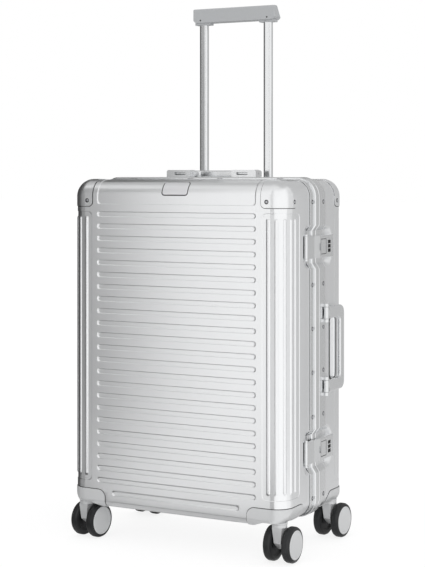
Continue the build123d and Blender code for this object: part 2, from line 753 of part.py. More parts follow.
END_SPANS = [(-HINGE_HALF_H, -HINGE_MID_HALF_H - HINGE_SPLIT), (HINGE_MID_HALF_H + HINGE_SPLIT, HINGE_HALF_H)]
MID_SPANS = [(-HINGE_MID_HALF_H, HINGE_MID_HALF_H)]
write(hinge_leaves(-1, END_SPANS, HINGE_PIN_R), "front_hinge_leaves")
write(hinge_leaves(1, MID_SPANS, HINGE_PIN_R + RUNNING_FIT), "rear_hinge_leaves")
with BuildPart() as hinge_pins:
    with Locations(*[(HINGE_AXIS_X, SEAM_Y, z) for z in HINGE_Z]):
        Cylinder(HINGE_PIN_R, 2 * HINGE_HALF_H)
write(hinge_pins.part, "hinge_pins")

# Top handle
top_y, top_z = TOP_PIVOT
with BuildPart() as top_handle:
    with BuildSketch(Plane.XY.offset(TOP_LOOP_Z[0])) as top_loop:
        with Locations((0, (top_y + TOP_LOOP_Y1) / 2)):
            Rectangle(2 * TOP_ARM_X[1], TOP_LOOP_Y1 - top_y)
        fillet(top_loop.vertices().group_by(Axis.Y)[-1], LOOP_R)
        with Locations((0, (top_y + TOP_GRIP_Y0 - LOOP_R) / 2)):
            RectangleRounded(2 * TOP_ARM_X[0], TOP_GRIP_Y0 - top_y + LOOP_R, LOOP_R / 2, mode=Mode.SUBTRACT)
    extrude(amount=TOP_LOOP_Z[1] - TOP_LOOP_Z[0])
    fillet(top_handle.faces().filter_by(Axis.Z).edges().filter_by(lambda edge: edge.center().Y > top_y + 1),
           LOOP_ROUND)
    for sign in (-1, 1):
        with BuildSketch(Plane.YZ.offset(sign * TOP_ARM_X[0])):
            with Locations(TOP_PIVOT):
                Circle(TOP_BARREL_R)
        extrude(amount=sign * (TOP_ARM_X[1] - TOP_ARM_X[0]))
        with BuildSketch(Plane.YZ.offset(sign * TOP_ARM_X[0])):
            with Locations(TOP_PIVOT):
                Circle(HANDLE_PIN_R + RUNNING_FIT)
        extrude(amount=sign * (TOP_ARM_X[1] - TOP_ARM_X[0]), mode=Mode.SUBTRACT)
write(top_handle.part, "top_handle")

# Side handle
side_x, side_y = SIDE_PIVOT
SIDE_ARM_SPANS = [(SIDE_LOOP_Z[0], SIDE_LOOP_Z[0] + SIDE_ARM), (SIDE_LOOP_Z[1] - SIDE_ARM, SIDE_LOOP_Z[1])]
side_mid_z = sum(SIDE_LOOP_Z) / 2
with BuildPart() as side_handle:
    with BuildSketch(Plane.YZ.offset(SIDE_LOOP_X[0])) as side_loop:
        with Locations(((side_y + SIDE_LOOP_Y1) / 2, side_mid_z)):
            Rectangle(SIDE_LOOP_Y1 - side_y, SIDE_LOOP_Z[1] - SIDE_LOOP_Z[0])
        fillet(side_loop.vertices().group_by(Axis.Y)[-1], LOOP_R)
        with Locations(((side_y + SIDE_GRIP_Y0 - LOOP_R) / 2, side_mid_z)):
            RectangleRounded(SIDE_GRIP_Y0 - side_y + LOOP_R, SIDE_LOOP_Z[1] - SIDE_LOOP_Z[0] - 2 * SIDE_ARM,
                             LOOP_R / 2, mode=Mode.SUBTRACT)
    extrude(amount=SIDE_LOOP_X[1] - SIDE_LOOP_X[0])
    fillet(side_handle.faces().filter_by(Axis.X).edges().filter_by(lambda edge: edge.center().Y > side_y + 1),
           LOOP_ROUND)
    for span in SIDE_ARM_SPANS:
        with Locations((side_x, side_y, span[0])):
            Cylinder(SIDE_BARREL_R, SIDE_ARM, align=CENTRE_MIN)
            Cylinder(HANDLE_PIN_R + RUNNING_FIT, SIDE_ARM, align=CENTRE_MIN, mode=Mode.SUBTRACT)
write(side_handle.part, "side_handle")

# Brackets and pins of both handles
with BuildPart() as handle_brackets:
    for sign in (-1, 1):
        bracket_x = sorted((sign * TOP_BRACKET_X[0], sign * TOP_BRACKET_X[1]))
        window_x = sorted((sign * (TOP_ARM_X[0] - HANDLE_GAP), sign * (TOP_ARM_X[1] + HANDLE_GAP)))
        block(bracket_x, TOP_BRACKET_Y, (CASE_Z1 + BEAD, TOP_BRACKET_Z1))
        block(bracket_x, (REAR_BEAD_Y, TOP_BRACKET_Y[1]), (CASE_Z1 + FLANGE, CASE_Z1 + BEAD))
        block(window_x, (TOP_BRACKET_Y[0] + TOP_BRACKET_WALL, TOP_BRACKET_Y[1]),
              (CASE_Z1 + BEAD, TOP_BRACKET_Z1), mode=Mode.SUBTRACT)
        with BuildSketch(Plane.XZ.offset(-TOP_BRACKET_Y[0])):
            with Locations((sum(window_x) / 2, top_z)):
                SlotOverall(TOP_ARM_X[1] - TOP_ARM_X[0], TOP_SLOT_H)
        extrude(amount=-TOP_BRACKET_WALL, mode=Mode.SUBTRACT)
        with BuildSketch(Plane.YZ.offset(bracket_x[0])):
            with Locations(TOP_PIVOT):
                Circle(HANDLE_PIN_R)
        extrude(amount=bracket_x[1] - bracket_x[0], mode=Mode.SUBTRACT)
    bracket_tops = handle_brackets.edges().filter_by(Axis.Y).group_by(Axis.Z)[-1]
    bracket_ends = bracket_tops.filter_by(lambda edge: abs(edge.center().X) > TOP_BRACKET_X[1] - 1)
    fillet(bracket_ends, TOP_BRACKET_ROUND)
    for span in SIDE_ARM_SPANS:
        mid = sum(span) / 2
        block((HALF_W + FLANGE, HALF_W + FLANGE + SIDE_BASE_T), SIDE_BASE_Y,
              (mid - SIDE_BASE_HALF_H, mid + SIDE_BASE_HALF_H))
        for lug_z in (span[0] - HANDLE_GAP - SIDE_LUG_W, span[1] + HANDLE_GAP):
            with BuildSketch(Plane.XY.offset(lug_z)):
                with Locations(SIDE_PIVOT):
                    Circle(SIDE_BARREL_R)
                with Locations(((HALF_W + FLANGE + side_x) / 2, side_y)):
                    Rectangle(side_x - HALF_W - FLANGE, 2 * SIDE_BARREL_R)
            extrude(amount=SIDE_LUG_W)
        with Locations((side_x, side_y, mid)):
            Cylinder(HANDLE_PIN_R, 2 * SIDE_BASE_HALF_H, mode=Mode.SUBTRACT)
write(handle_brackets.part, "handle_brackets")

with BuildPart() as handle_pins:
    for sign in (-1, 1):
        with BuildSketch(Plane.YZ.offset(sign * TOP_BRACKET_X[0])):
            with Locations(TOP_PIVOT):
                Circle(HANDLE_PIN_R)
        extrude(amount=sign * (TOP_BRACKET_X[1] - TOP_BRACKET_X[0]))
    for span in SIDE_ARM_SPANS:
        with Locations((side_x, side_y, sum(span) / 2)):
            Cylinder(HANDLE_PIN_R, SIDE_ARM + 2 * (HANDLE_GAP + SIDE_LUG_W))
write(handle_pins.part, "handle_pins")


# Trolley
def tube_pair(grow, wall, z_range):
    """Two rounded tubes, grown from the inner tube's section; a wall of zero leaves them solid."""
    with BuildPart() as tubes:
        with BuildSketch(Plane.XY.offset(z_range[0])):
            with Locations((TUBE_X, TUBE_Y), (-TUBE_X, TUBE_Y)):
                RectangleRounded(TUBE_SIZE[0] + 2 * grow, TUBE_SIZE[1] + 2 * grow, TUBE_R + grow)
                if wall:
                    RectangleRounded(TUBE_SIZE[0] + 2 * (grow - wall), TUBE_SIZE[1] + 2 * (grow - wall),
                                     TUBE_R + grow - wall, mode=Mode.SUBTRACT)
        extrude(amount=z_range[1] - z_range[0])
    return tubes.part


write(tube_pair(SLEEVE_GAP + SLEEVE_WALL, SLEEVE_WALL, (FOOT_Z[1], PORT_Z0)), "trolley_outer_tubes")
write(tube_pair(0, TUBE_WALL, (PORT_Z0 - TUBE_OVERLAP, TUBE_TOP_Z)), "trolley_inner_tubes")
tube_passage = tube_pair(SLEEVE_GAP, 0, (PORT_Z0, PORT_Z0 + PORT_FLOOR))
tube_pockets = tube_pair(0, 0, (SOCKET_Z, TUBE_TOP_Z))

with BuildPart() as trolley_port:
    add(rear_outer)
    block((-PORT_X, PORT_X), (PORT_Y0, REAR_Y + PAST), (PORT_Z0, CASE_Z1 + PAST), mode=Mode.INTERSECT)
    block((PORT_WALL - PORT_X, PORT_X - PORT_WALL), (PORT_Y0 + PORT_WALL, REAR_Y + PAST),
          (PORT_Z0 + PORT_FLOOR, CASE_Z1 + PAST), mode=Mode.SUBTRACT)
    add(tube_passage, mode=Mode.SUBTRACT)
write(trolley_port.part, "trolley_port")

with BuildPart() as trolley_foot:
    block((-FOOT_X, FOOT_X), (FOOT_Y0, REAR_Y - WALL), FOOT_Z)
    fillet(trolley_foot.edges().filter_by(Axis.Z).group_by(Axis.Y)[0], FOOT_ROUND)
write(trolley_foot.part, "trolley_foot")

with BuildPart() as trolley_grip:
    with BuildSketch(Plane.YZ.offset(-GRIP_X)):
        with BuildLine():
            Polyline(
                (GRIP_FRONT_Y, GRIP_Z[0]),
                (GRIP_FRONT_Y, GRIP_Z[1]),
                (GRIP_TOP_Y, GRIP_Z[1]),
                (GRIP_REAR_Y, GRIP_Z[0] + GRIP_REAR_EDGE),
                (GRIP_REAR_Y, GRIP_Z[0]),
                close=True,
            )
        make_face()
    extrude(amount=2 * GRIP_X)
    fillet(trolley_grip.edges().filter_by(Axis.X).group_by(Axis.Z)[-1], GRIP_ROUND)
    grip_ends = trolley_grip.faces().group_by(Axis.X)
    fillet(grip_ends[0].edges() + grip_ends[-1].edges(), GRIP_END_ROUND)
    for sign in (-1, 1):
        with BuildSketch(Plane.XZ.offset(-GRIP_REAR_Y)):
            Polygon(
                (sign * GRIP_X, GRIP_Z[0]),
                (sign * GRIP_X, GRIP_Z[0] + GRIP_CORNER),
                (sign * (GRIP_X - GRIP_CORNER), GRIP_Z[0]),
                align=None,
            )
        extrude(amount=GRIP_REAR_Y - GRIP_FRONT_Y, mode=Mode.SUBTRACT)
        block((sign * TUBE_X - SOCKET_HALF[0], sign * TUBE_X + SOCKET_HALF[0]),
              (TUBE_Y - SOCKET_HALF[1], TUBE_Y + SOCKET_HALF[1]), (SOCKET_Z, GRIP_Z[0]))
    add(tube_pockets, mode=Mode.SUBTRACT)
    block((-ROD_BAR_X - ROD_BAR_GAP, ROD_BAR_X + ROD_BAR_GAP),
          (ROD_BAR_Y[0] - BUTTON_GAP, ROD_BAR_Y[1] + BUTTON_GAP),
          (TUBE_TOP_Z, ROD_BAR_Z[1] + BUTTON_GAP), mode=Mode.SUBTRACT)
    block((-BUTTON_X - BUTTON_GAP, BUTTON_X + BUTTON_GAP), (BUTTON_Y[0] - BUTTON_GAP, BUTTON_Y[1] + BUTTON_GAP),
          (ROD_BAR_Z[1] - BUTTON_TRAVEL - BUTTON_GAP, GRIP_Z[1]), mode=Mode.SUBTRACT)
write(trolley_grip.part, "trolley_grip")

with BuildPart() as trolley_release_button:
    block((-BUTTON_X, BUTTON_X), BUTTON_Y, (ROD_BAR_Z[1], BUTTON_TOP_Z))
    fillet(trolley_release_button.edges().group_by(Axis.Z)[-1], BUTTON_ROUND)
write(trolley_release_button.part, "trolley_release_button")

with BuildPart() as trolley_push_rod:
    block((-ROD_BAR_X, ROD_BAR_X), ROD_BAR_Y, ROD_BAR_Z)
    with Locations((TUBE_X, TUBE_Y, ROD_END_Z), (-TUBE_X, TUBE_Y, ROD_END_Z)):
        Cylinder(ROD_R, ROD_BAR_Z[0] - ROD_END_Z, align=CENTRE_MIN)
write(trolley_push_rod.part, "trolley_push_rod")

# One caster at the origin, trailing towards +Y
with BuildPart() as fork:
    with BuildSketch(Plane.YZ) as arm:
        with Locations((TRAIL, WHEEL_R)):
            Circle(FORK_BOSS_R)
        with Locations((0, FORK_HEAD_Z - FORK_NECK_H / 2)):
            Rectangle(2 * FORK_NECK_Y, FORK_NECK_H)
        with Locations((FORK_TOE_Y, FORK_LOW_Z)):
            Circle(FORK_TOE_R)
        make_hull()
    extrude(amount=FORK_HALF_TOP, both=True)
    with BuildSketch(Plane.XZ):
        Polygon(
            (-FORK_HALF_TOP, FORK_HEAD_Z),
            (-FORK_HALF_LOW, FORK_LOW_Z),
            (-FORK_HALF_LOW, 0),
            (FORK_HALF_LOW, 0),
            (FORK_HALF_LOW, FORK_LOW_Z),
            (FORK_HALF_TOP, FORK_HEAD_Z),
            align=None,
        )
    extrude(amount=2 * WHEEL_R, both=True, mode=Mode.INTERSECT)
    with Locations((0, 0, FORK_HEAD_Z)):
        Cylinder(FORK_HEAD_R, FORK_TOP_Z - FORK_HEAD_Z, align=CENTRE_MIN)
    with Locations((0, 0, STUD_Z[0] - STUD_END_GAP)):
        Cylinder(STUD_R + RUNNING_FIT, FORK_TOP_Z - STUD_Z[0] + STUD_END_GAP, align=CENTRE_MIN,
                 mode=Mode.SUBTRACT)
    with BuildSketch(Plane.YZ):
        with Locations((TRAIL, WHEEL_R)):
            Circle(AXLE_R + RUNNING_FIT)
    extrude(amount=FORK_HALF_TOP, both=True, mode=Mode.SUBTRACT)

WHEEL_IN_X = WHEEL_OFFSET - WHEEL_W / 2
WHEEL_OUT_X = WHEEL_OFFSET + WHEEL_W / 2
WHEEL_AXIS = Axis((0, TRAIL, WHEEL_R), (1, 0, 0))

with BuildPart() as axle:
    with BuildSketch(Plane.YZ):
        with Locations((TRAIL, WHEEL_R)):
            Circle(AXLE_R)
    extrude(amount=WHEEL_OUT_X - HUB_T, both=True)


def wheel_section(corners):
    """Corners of a wheel's section, given as places along the axle and radii."""
    return [(x, TRAIL + radius) for x, radius in corners]


shoulder, shoulder_mid = TYRE_SHOULDER
with BuildPart() as tyres:
    with BuildSketch(Plane.XY.offset(WHEEL_R)):
        Polygon(
            *wheel_section([
                (WHEEL_IN_X, AXLE_R),
                (WHEEL_IN_X, TYRE_DISH[0]),
                (WHEEL_IN_X + TYRE_DISH_DEPTH, TYRE_DISH[0] + TYRE_DISH_DEPTH),
                (WHEEL_IN_X + TYRE_DISH_DEPTH, TYRE_DISH[1] - TYRE_DISH_DEPTH),
                (WHEEL_IN_X, TYRE_DISH[1]),
                (WHEEL_IN_X, WHEEL_R - shoulder),
                (WHEEL_IN_X + shoulder_mid, WHEEL_R - shoulder_mid),
                (WHEEL_IN_X + shoulder, WHEEL_R),
                (WHEEL_OUT_X - shoulder, WHEEL_R),
                (WHEEL_OUT_X - shoulder_mid, WHEEL_R - shoulder_mid),
                (WHEEL_OUT_X, WHEEL_R - shoulder),
                (WHEEL_OUT_X, HUB_R),
                (WHEEL_OUT_X - HUB_T, HUB_R),
                (WHEEL_OUT_X - HUB_T, AXLE_R),
            ]),
            align=None,
        )
    revolve(axis=WHEEL_AXIS)
    mirror(about=Plane.YZ)

rim_proud, rim_outer, rim_inner = HUB_RIM
with BuildPart() as hubs:
    with BuildSketch(Plane.XY.offset(WHEEL_R)):
        Polygon(
            *wheel_section([
                (WHEEL_OUT_X - HUB_T, 0),
                (WHEEL_OUT_X - HUB_T, HUB_R),
                (WHEEL_OUT_X, HUB_R),
                (WHEEL_OUT_X + rim_proud, HUB_R - rim_outer),
                (WHEEL_OUT_X + HUB_FACE, HUB_R - rim_inner),
                (WHEEL_OUT_X + HUB_FACE, 0),
            ]),
            align=None,
        )
    revolve(axis=WHEEL_AXIS)
    mirror(about=Plane.YZ)

for caster_name, (caster_x, caster_y, caster_turn) in CASTERS.items():
    place = Location((caster_x, caster_y, 0), (0, 0, caster_turn))
    for piece_name, piece in (("fork", fork), ("axle", axle), ("tyres", tyres), ("hubs", hubs)):
        with BuildPart() as placed:
            with Locations(place):
                add(piece.part)
        write(placed.part, f"{caster_name}_{piece_name}")


# Linings: thin trays inside the shells
def lining_solid(side, y_rim, y_face, inset):
    """Room inside one half at an inset from the lining's outside, less all that stands into the case."""
    room = case_half(-LINING_GAP - inset, y_rim, y_face - side * inset)
    bumps = [lock_dents(side, -LINING_GAP - inset), wheel_wells(side, WELL_WALL + LINING_RIM + inset)]
    if side > 0:
        bumps.append(finger_dish(LINING_GAP + inset))
    port_gap = LINING_RIM + inset
    with BuildPart() as solid:
        add(room)
        for bump in bumps:
            add(bump, mode=Mode.SUBTRACT)
        if side > 0:
            block((-PORT_X - port_gap, PORT_X + port_gap), (PORT_Y0 - port_gap, REAR_Y),
                  (PORT_Z0 - port_gap, CASE_Z1), mode=Mode.SUBTRACT)
    return solid.part


def lining(side, y_face):
    """Fabric tray of one half."""
    y_rim = SEAM_Y + side * LINING_RIM
    outside = lining_solid(side, y_rim, y_face, 0)
    inside = lining_solid(side, y_rim - side * PAST, y_face, LINING_T)
    with BuildPart() as tray:
        add(outside)
        add(inside, mode=Mode.SUBTRACT)
    return tray.part


write(lining(-1, FRONT_Y + LINING_GAP), "front_lining")
write(lining(1, REAR_LINING_Y), "rear_lining")
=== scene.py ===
import json
import math

import bmesh
import bpy
import numpy as np
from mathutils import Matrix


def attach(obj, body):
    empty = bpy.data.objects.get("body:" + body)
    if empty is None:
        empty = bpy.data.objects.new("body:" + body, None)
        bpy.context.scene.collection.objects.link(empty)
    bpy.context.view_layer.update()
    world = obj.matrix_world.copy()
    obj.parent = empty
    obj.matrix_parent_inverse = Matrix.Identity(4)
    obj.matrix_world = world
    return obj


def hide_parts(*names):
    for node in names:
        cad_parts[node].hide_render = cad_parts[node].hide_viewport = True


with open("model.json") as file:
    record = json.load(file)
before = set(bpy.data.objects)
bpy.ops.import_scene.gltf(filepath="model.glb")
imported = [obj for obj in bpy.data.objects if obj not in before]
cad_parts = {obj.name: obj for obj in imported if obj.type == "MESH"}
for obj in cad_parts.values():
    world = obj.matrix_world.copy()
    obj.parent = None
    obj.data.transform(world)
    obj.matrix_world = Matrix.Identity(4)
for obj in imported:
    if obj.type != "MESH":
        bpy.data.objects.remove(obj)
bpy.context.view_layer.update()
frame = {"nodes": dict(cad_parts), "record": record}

MM = 0.001
QUARTER = math.pi / 2
scene = bpy.context.scene

# Sizes are in millimetres, as in the part. A depth d counts from the middle plane of the case. A run goes
# from a panel's middle round its upright edges, and a rise goes up it and on round its upper and lower edge.

# Case
HALF_W = 214.0
DEPTH = 124.0
CASE_Z = (63.0, 647.5)
EDGE_R = 30.0
BOTTOM_R = 12.0
WALL = 2.0
FRONT_RIM = 4.0
REAR_RIM = 10.0

# Grooves across the panels
GROOVE_Z = [586.0 - 21.6 * k for k in range(23)]
GROOVE_HALF = 158.5
SHORT_GROOVE_Z = 89.5
LOW_GROOVE_RISE = 67.7
SHORT_GROOVE_HALF = 127.0
GROOVE_END_R = 5.0
GROOVE_DEPTH = 1.1
GROOVE_UPPER_WALL = 1.4
GROOVE_LOWER_WALL = 1.5

# Fluted corner panels, softer on the rear shell
FLUTE_PANEL = (170.5, 258.1)
FLUTE_PANEL_Z = (108.0, 590.5)
PANEL_R = 8.0
PANEL_DEPTH = 0.8
PANEL_STEP = 0.45
FLUTE_RUN = [181.5 + 15.2 * k for k in range(5)]
FLUTE_Z = (117.6, 581.6)
FLUTE_R = 4.2
FLUTE_TIP = 3.2
FLUTE_PROUD = 1.0
REAR_RELIEF = 0.3

# Badge panel and plate on the upper front rounding
BADGE_PANEL_X = 158.0
BADGE_PANEL_RISE = (604.0, 662.6)
BADGE_PANEL_R = 6.0
BADGE_HALF_W = 25.0
BADGE_RISE = (621.0, 648.0)
BADGE_R = 4.5
BADGE_RIM_LINES = (0.0, 0.2, 0.45, 0.8, 1.4, 2.4, 3.6)
BADGE_FLAT_EDGE = 5.0
BADGE_FLAT_ROWS = 9
BADGE_BEVEL = 0.8
BADGE_SUNK = 0.05
BADGE_PROUD = 1.25
BADGE_T = 0.6
BADGE_GAP = 0.6

# Corner caps and wheel housings: their edges in x, depth and z
CAP = (168.7, 80.0, 600.0)
CAP_R = 8.0
HOUSING = (142.0, 50.0, 93.5)
HOUSING_R = 14.0
HOUSING_OPEN = (148.0, 56.0, 88.0)
SEAT_GAP = 1.2
PIVOT = (193.6, 103.4)

# Dents for the locks, whose ends draw in beyond a square middle
LOCK_Z = (530.5, 176.0)
DENT = 7.0
DENT_FLOOR = 28.5
DENT_MOUTH = 38.0
FRONT_DENT_END = (52.6, 51.0)
REAR_DENT_END = (69.0, 56.0)
DENT_SQUARE = 20.0
DENT_CORNER = 14.0

# Finger dish behind the side handle
DISH_D = (59.5, 83.0)
DISH_Z = (294.0, 402.0)
DISH_R = 8.0
DISH_DEPTH = 5.5
DISH_REAR_WALL = 10.0
DISH_LIP = 1.2
DISH_SHADE_LINE = 2.4

# Frame, seam and rivets
FRONT_FLANGE_D = 26.0
REAR_FLANGE_D = 38.0
FLANGE_T = 1.4
SEAM_Y = 3.6
SEAM_PROUD = 3.4
RIVET_R = 2.7
RIVET_RING_R = RIVET_R + 0.3
SIDE_RIVET_Z = (609.0, 465.0, 389.0, 313.0, 236.0, 95.0)
TOP_RIVET_X = (-150.0, -30.0, 30.0, 150.0)
FRONT_RIVET_D = 17.0
REAR_RIVET_D = 29.0
CAP_RIVET = (179.5, 89.6, 610.3)
CAP_PROUD = 1.2

# Lock faces and trolley grip
LOCK_TOP_X = 219.0
BUTTON_Y = (11.0, 33.0)
BUTTON_HALF_H = 13.0
BUTTON_R = 0.5
BUTTON_GAP = 0.2
KEYHOLE_Y = 48.0
KEYHOLE_R = 0.6
GRIP_SCREW = (70.0, 98.0, 948.2)
GRIP_SCREW_R = 0.8

# Top and side handle
TOP_PIVOT = (20.0, 658.4)
TOP_LOOP_X = (-76.0, 76.0)
TOP_ARM = 24.0
TOP_GRIP_Y = (58.0, 76.0)
TOP_LOOP_Z = (653.6, 664.2)
TOP_BARREL_R = 4.8
TOP_GRIP_DROP = 2.4
TOP_DROP_START = 12.0
TOP_DROP_EDGE = 2.0
SIDE_PIVOT = (222.2, 27.0)
SIDE_LOOP_Z = (274.0, 424.0)
SIDE_ARM = 21.0
SIDE_GRIP_Y = (80.0, 97.0)
SIDE_LOOP_X = (218.0, 226.4)
SIDE_BARREL_R = 4.4
LOOP_R = 14.0
LOOP_ROUND = 3.0
PIN_HOLE_R = 2.1
BARREL_RIM = 0.6

# Trolley port and linings
PORT_X = 92.0
PORT_D = 90.0
PORT_Z = 625.0
PORT_ROOM = 1.5
PORT_CLEAR = 1.0
PORT_STEP_X = (101.0, 95.0)
LINING_GAP = 4.9
LINING_T = 1.2
FRONT_LINING_RIM = -2.0
REAR_LINING_RIM = 4.0
REAR_LINING_D = 99.3
LINING_WELL_R = (33.0, 46.0)
LINING_WELL_Z = 74.6
LINING_WELL_SLOPE = 0.08
LINING_DISH_GROW = 7.0
RIPPLE_MEAN, RIPPLE_SLOW, RIPPLE_QUICK = 0.35, 0.22, 0.1

# Beads, soft black lines of painted shade: half width, height above the face and depth below it
SEAT_BEAD = (SEAT_GAP / 2, 0.12, 0.9)
FRAME_BEAD = (0.6, 0.25, 0.5)
FRAME_BEAD_GAP = 0.5
RIVET_BEAD = (0.9, 0.25, 0.3)
SEAM_BEAD = (0.75, 0.2, 0.6)
DISH_BEAD = (DISH_SHADE_LINE, 0.2, 0.4)
BUTTON_BEAD = (0.4, 0.06, 0.4)
KEYHOLE_BEAD = (KEYHOLE_R, 0.08, 0.3)
SCREW_BEAD = (GRIP_SCREW_R, 0.08, 0.3)
BADGE_BEAD = (0.8, 0.3, 0.3)
BEAD_CROWN = 0.55
BEAD_SHOULDER = 0.4

# Points along curves, and steps and gaps of lines
EDGE_STEPS = 14
CORNER_STEPS = 9
SEAT_STEPS = (12, 16, 8)
BADGE_STEPS = 8
RING_STEPS = 18
SLEEVE_STEPS = 40
CASE_LOOP_STEP = 1.9
JOIN_GAP = 0.001
SHELL_LINE_GAP = 0.12
LINING_LINE_GAP = 1.5
NO_LIMIT = 1e6

# Corners of an outline: their signs, and the degrees where their turn starts
CORNERS = ((1, 1, 0), (-1, 1, 90), (-1, -1, 180), (1, -1, 270))

# Colour sockets of a Mix node
MIX_A, MIX_B, MIX_OUT = 6, 7, 2


def linear(code):
    """sRGB hex colour as linear RGBA."""
    steps = [int(code[i:i + 2], 16) / 255 for i in (0, 2, 4)]
    return (*[c / 12.92 if c <= 0.04045 else ((c + 0.055) / 1.055) ** 2.4 for c in steps], 1.0)


def put(tree, kind, inputs=None, **settings):
    """Add a node with its settings, and fill or link its inputs."""
    made = tree.nodes.new(kind)
    for name, value in settings.items():
        setattr(made, name, value)
    for name, value in (inputs or {}).items():
        if isinstance(value, bpy.types.NodeSocket):
            tree.links.new(value, made.inputs[name])
        else:
            made.inputs[name].default_value = value
    return made


def blank(name):
    """New material with an empty tree."""
    made = bpy.data.materials.new(name)
    made.use_nodes = True
    made.node_tree.nodes.clear()
    return made


def finish(name, colour, metallic, roughness, grain_mm, rough_swing, bump_mm, tone, tone_mm=60.0):
    """Colour with a slow tone drift, and a grain, even or stretched, that moves roughness and relief."""
    made = blank(name)
    tree = made.node_tree
    place = put(tree, "ShaderNodeTexCoord").outputs["Object"]
    grain_scale = [1 / (size * MM) for size in np.broadcast_to(grain_mm, 3)]
    stretched = put(tree, "ShaderNodeMapping", {"Vector": place, "Scale": grain_scale}).outputs["Vector"]
    grain = put(tree, "ShaderNodeTexNoise", {"Vector": stretched, "Scale": 1.0, "Detail": 3.0}).outputs["Fac"]
    rough = put(tree, "ShaderNodeMapRange", {
        "Value": grain, "From Min": 0.3, "From Max": 0.7,
        "To Min": roughness - rough_swing, "To Max": roughness + rough_swing,
    }).outputs["Result"]
    drift = put(tree, "ShaderNodeTexNoise", {"Vector": place, "Scale": 1 / (tone_mm * MM), "Detail": 2.0})
    base = linear(colour)
    dark = tuple(c * (1 - tone) for c in base[:3]) + (1.0,)
    toned = put(tree, "ShaderNodeMix", {
        0: drift.outputs["Fac"], MIX_A: dark, MIX_B: base,
    }, data_type="RGBA").outputs[MIX_OUT]
    relief = put(tree, "ShaderNodeBump", {"Height": grain, "Distance": bump_mm * MM, "Strength": 0.5})
    body = put(tree, "ShaderNodeBsdfPrincipled", {
        "Base Color": toned, "Metallic": metallic, "Roughness": rough,
        "Normal": relief.outputs["Normal"],
    })
    put(tree, "ShaderNodeOutputMaterial", {"Surface": body.outputs["BSDF"]})
    return made


# Blasted and anodised sheet: an even satin silver whose reflections are soft, with hardly any grain.
# The blasting is about 0.1 mm fine and is drawn at 1.5 mm.
SHEET = finish("satin_anodised_aluminium_sheet", "F8F9FA", 1.0, 0.30, 1.5, 0.02, 0.001, 0.03)
# Extruded frame, anodised after drawing: a slightly darker, glossier silver with faint lines along it
EXTRUSION = finish("anodised_aluminium_extrusion", "ECEDEE", 1.0, 0.24, (3.0, 3.0, 60), 0.01, 0.0002, 0.02)
# Drawn and anodised tube: long, tight highlights down its length.
# The draw lines are finer than 0.1 mm and are drawn 4 mm apart.
TUBE = finish("drawn_anodised_aluminium_tube", "ECEDEE", 1.0, 0.14, (4.0, 4.0, 400), 0.004, 0.0001, 0.02)
# Rolled plate with a fine brushed face: softer than the case.
# The brush lines are finer than 0.1 mm and are drawn 1.5 mm apart.
BRUSHED = finish("brushed_stainless_plate", "F2F2F4", 0.75, 0.36, (40, 1.5, 1.5), 0.02, 0.0005, 0.02)
# Drawn rivets: small heads, their colour darkened below the frame they hold as painted shade of their domes
RIVET_WITH_PAINTED_SHADE = finish("drawn_aluminium_rivet_painted_shade", "B8B9BC", 1.0, 0.24, 0.8, 0.02, 0.001, 0.04)
# Die cast zinc under satin plating: a slightly darker, glossier silver than the sheet
CAST_ZINC = finish("satin_plated_zinc_casting", "ECEDEE", 1.0, 0.24, 1.2, 0.02, 0.001, 0.03)
# Moulded ABS under silver paint: part metal flake, part plastic gloss
SILVER_ABS = finish("silver_painted_abs_moulding", "ECEDEE", 0.9, 0.22, 0.9, 0.02, 0.001, 0.03)
# Moulded nylon from an eroded tool: an even grey that scatters its highlights.
# The eroded grain is 0.1 mm and is drawn at 0.7 mm, and at 0.6 to 0.9 mm on the other mouldings.
GREY_NYLON = finish("grey_moulded_nylon", "C2C4C6", 0.0, 0.5, 0.7, 0.05, 0.015, 0.05)
# Housings and forks of the same nylon under silver paint: they follow the tones of the metal beside them
PALE_NYLON = finish("silver_painted_nylon_moulding", "E4E5E6", 0.35, 0.34, 0.7, 0.04, 0.006, 0.04)
# Wheel discs of smooth ABS: light grey with a clear soft highlight
HUB_ABS = finish("pale_grey_satin_abs", "E6E7E8", 0.0, 0.32, 0.8, 0.04, 0.006, 0.03)
# Turned steel under zinc: cool bright rings of light on pins and axles
STEEL = finish("turned_zinc_plated_steel", "C2C3C6", 1.0, 0.28, 0.8, 0.05, 0.002, 0.03)
# Moulded acetal: deep black with a soft, slightly waxy gloss
ACETAL = finish("black_moulded_acetal", "161617", 0.0, 0.42, 0.6, 0.05, 0.004, 0.1)
# Cast polyurethane: charcoal, dull, with faint clouds from handling
TYRE = finish("cast_polyurethane_tyre", "222325", 0.0, 0.5, 0.8, 0.06, 0.015, 0.12, 25.0)
# Extruded rubber: flat black
SEAL = finish("extruded_rubber_seal", "1C1C1D", 0.0, 0.6, 0.7, 0.05, 0.008, 0.1)
# Painted shade: soft black beads that show only as thin lines, in gaps and round rivets and small holes,
# where shade falls
PAINTED_GAP_SHADE = finish("painted_gap_shade_black", "2C2C2D", 0.0, 0.55, 0.6, 0.05, 0.004, 0.1)

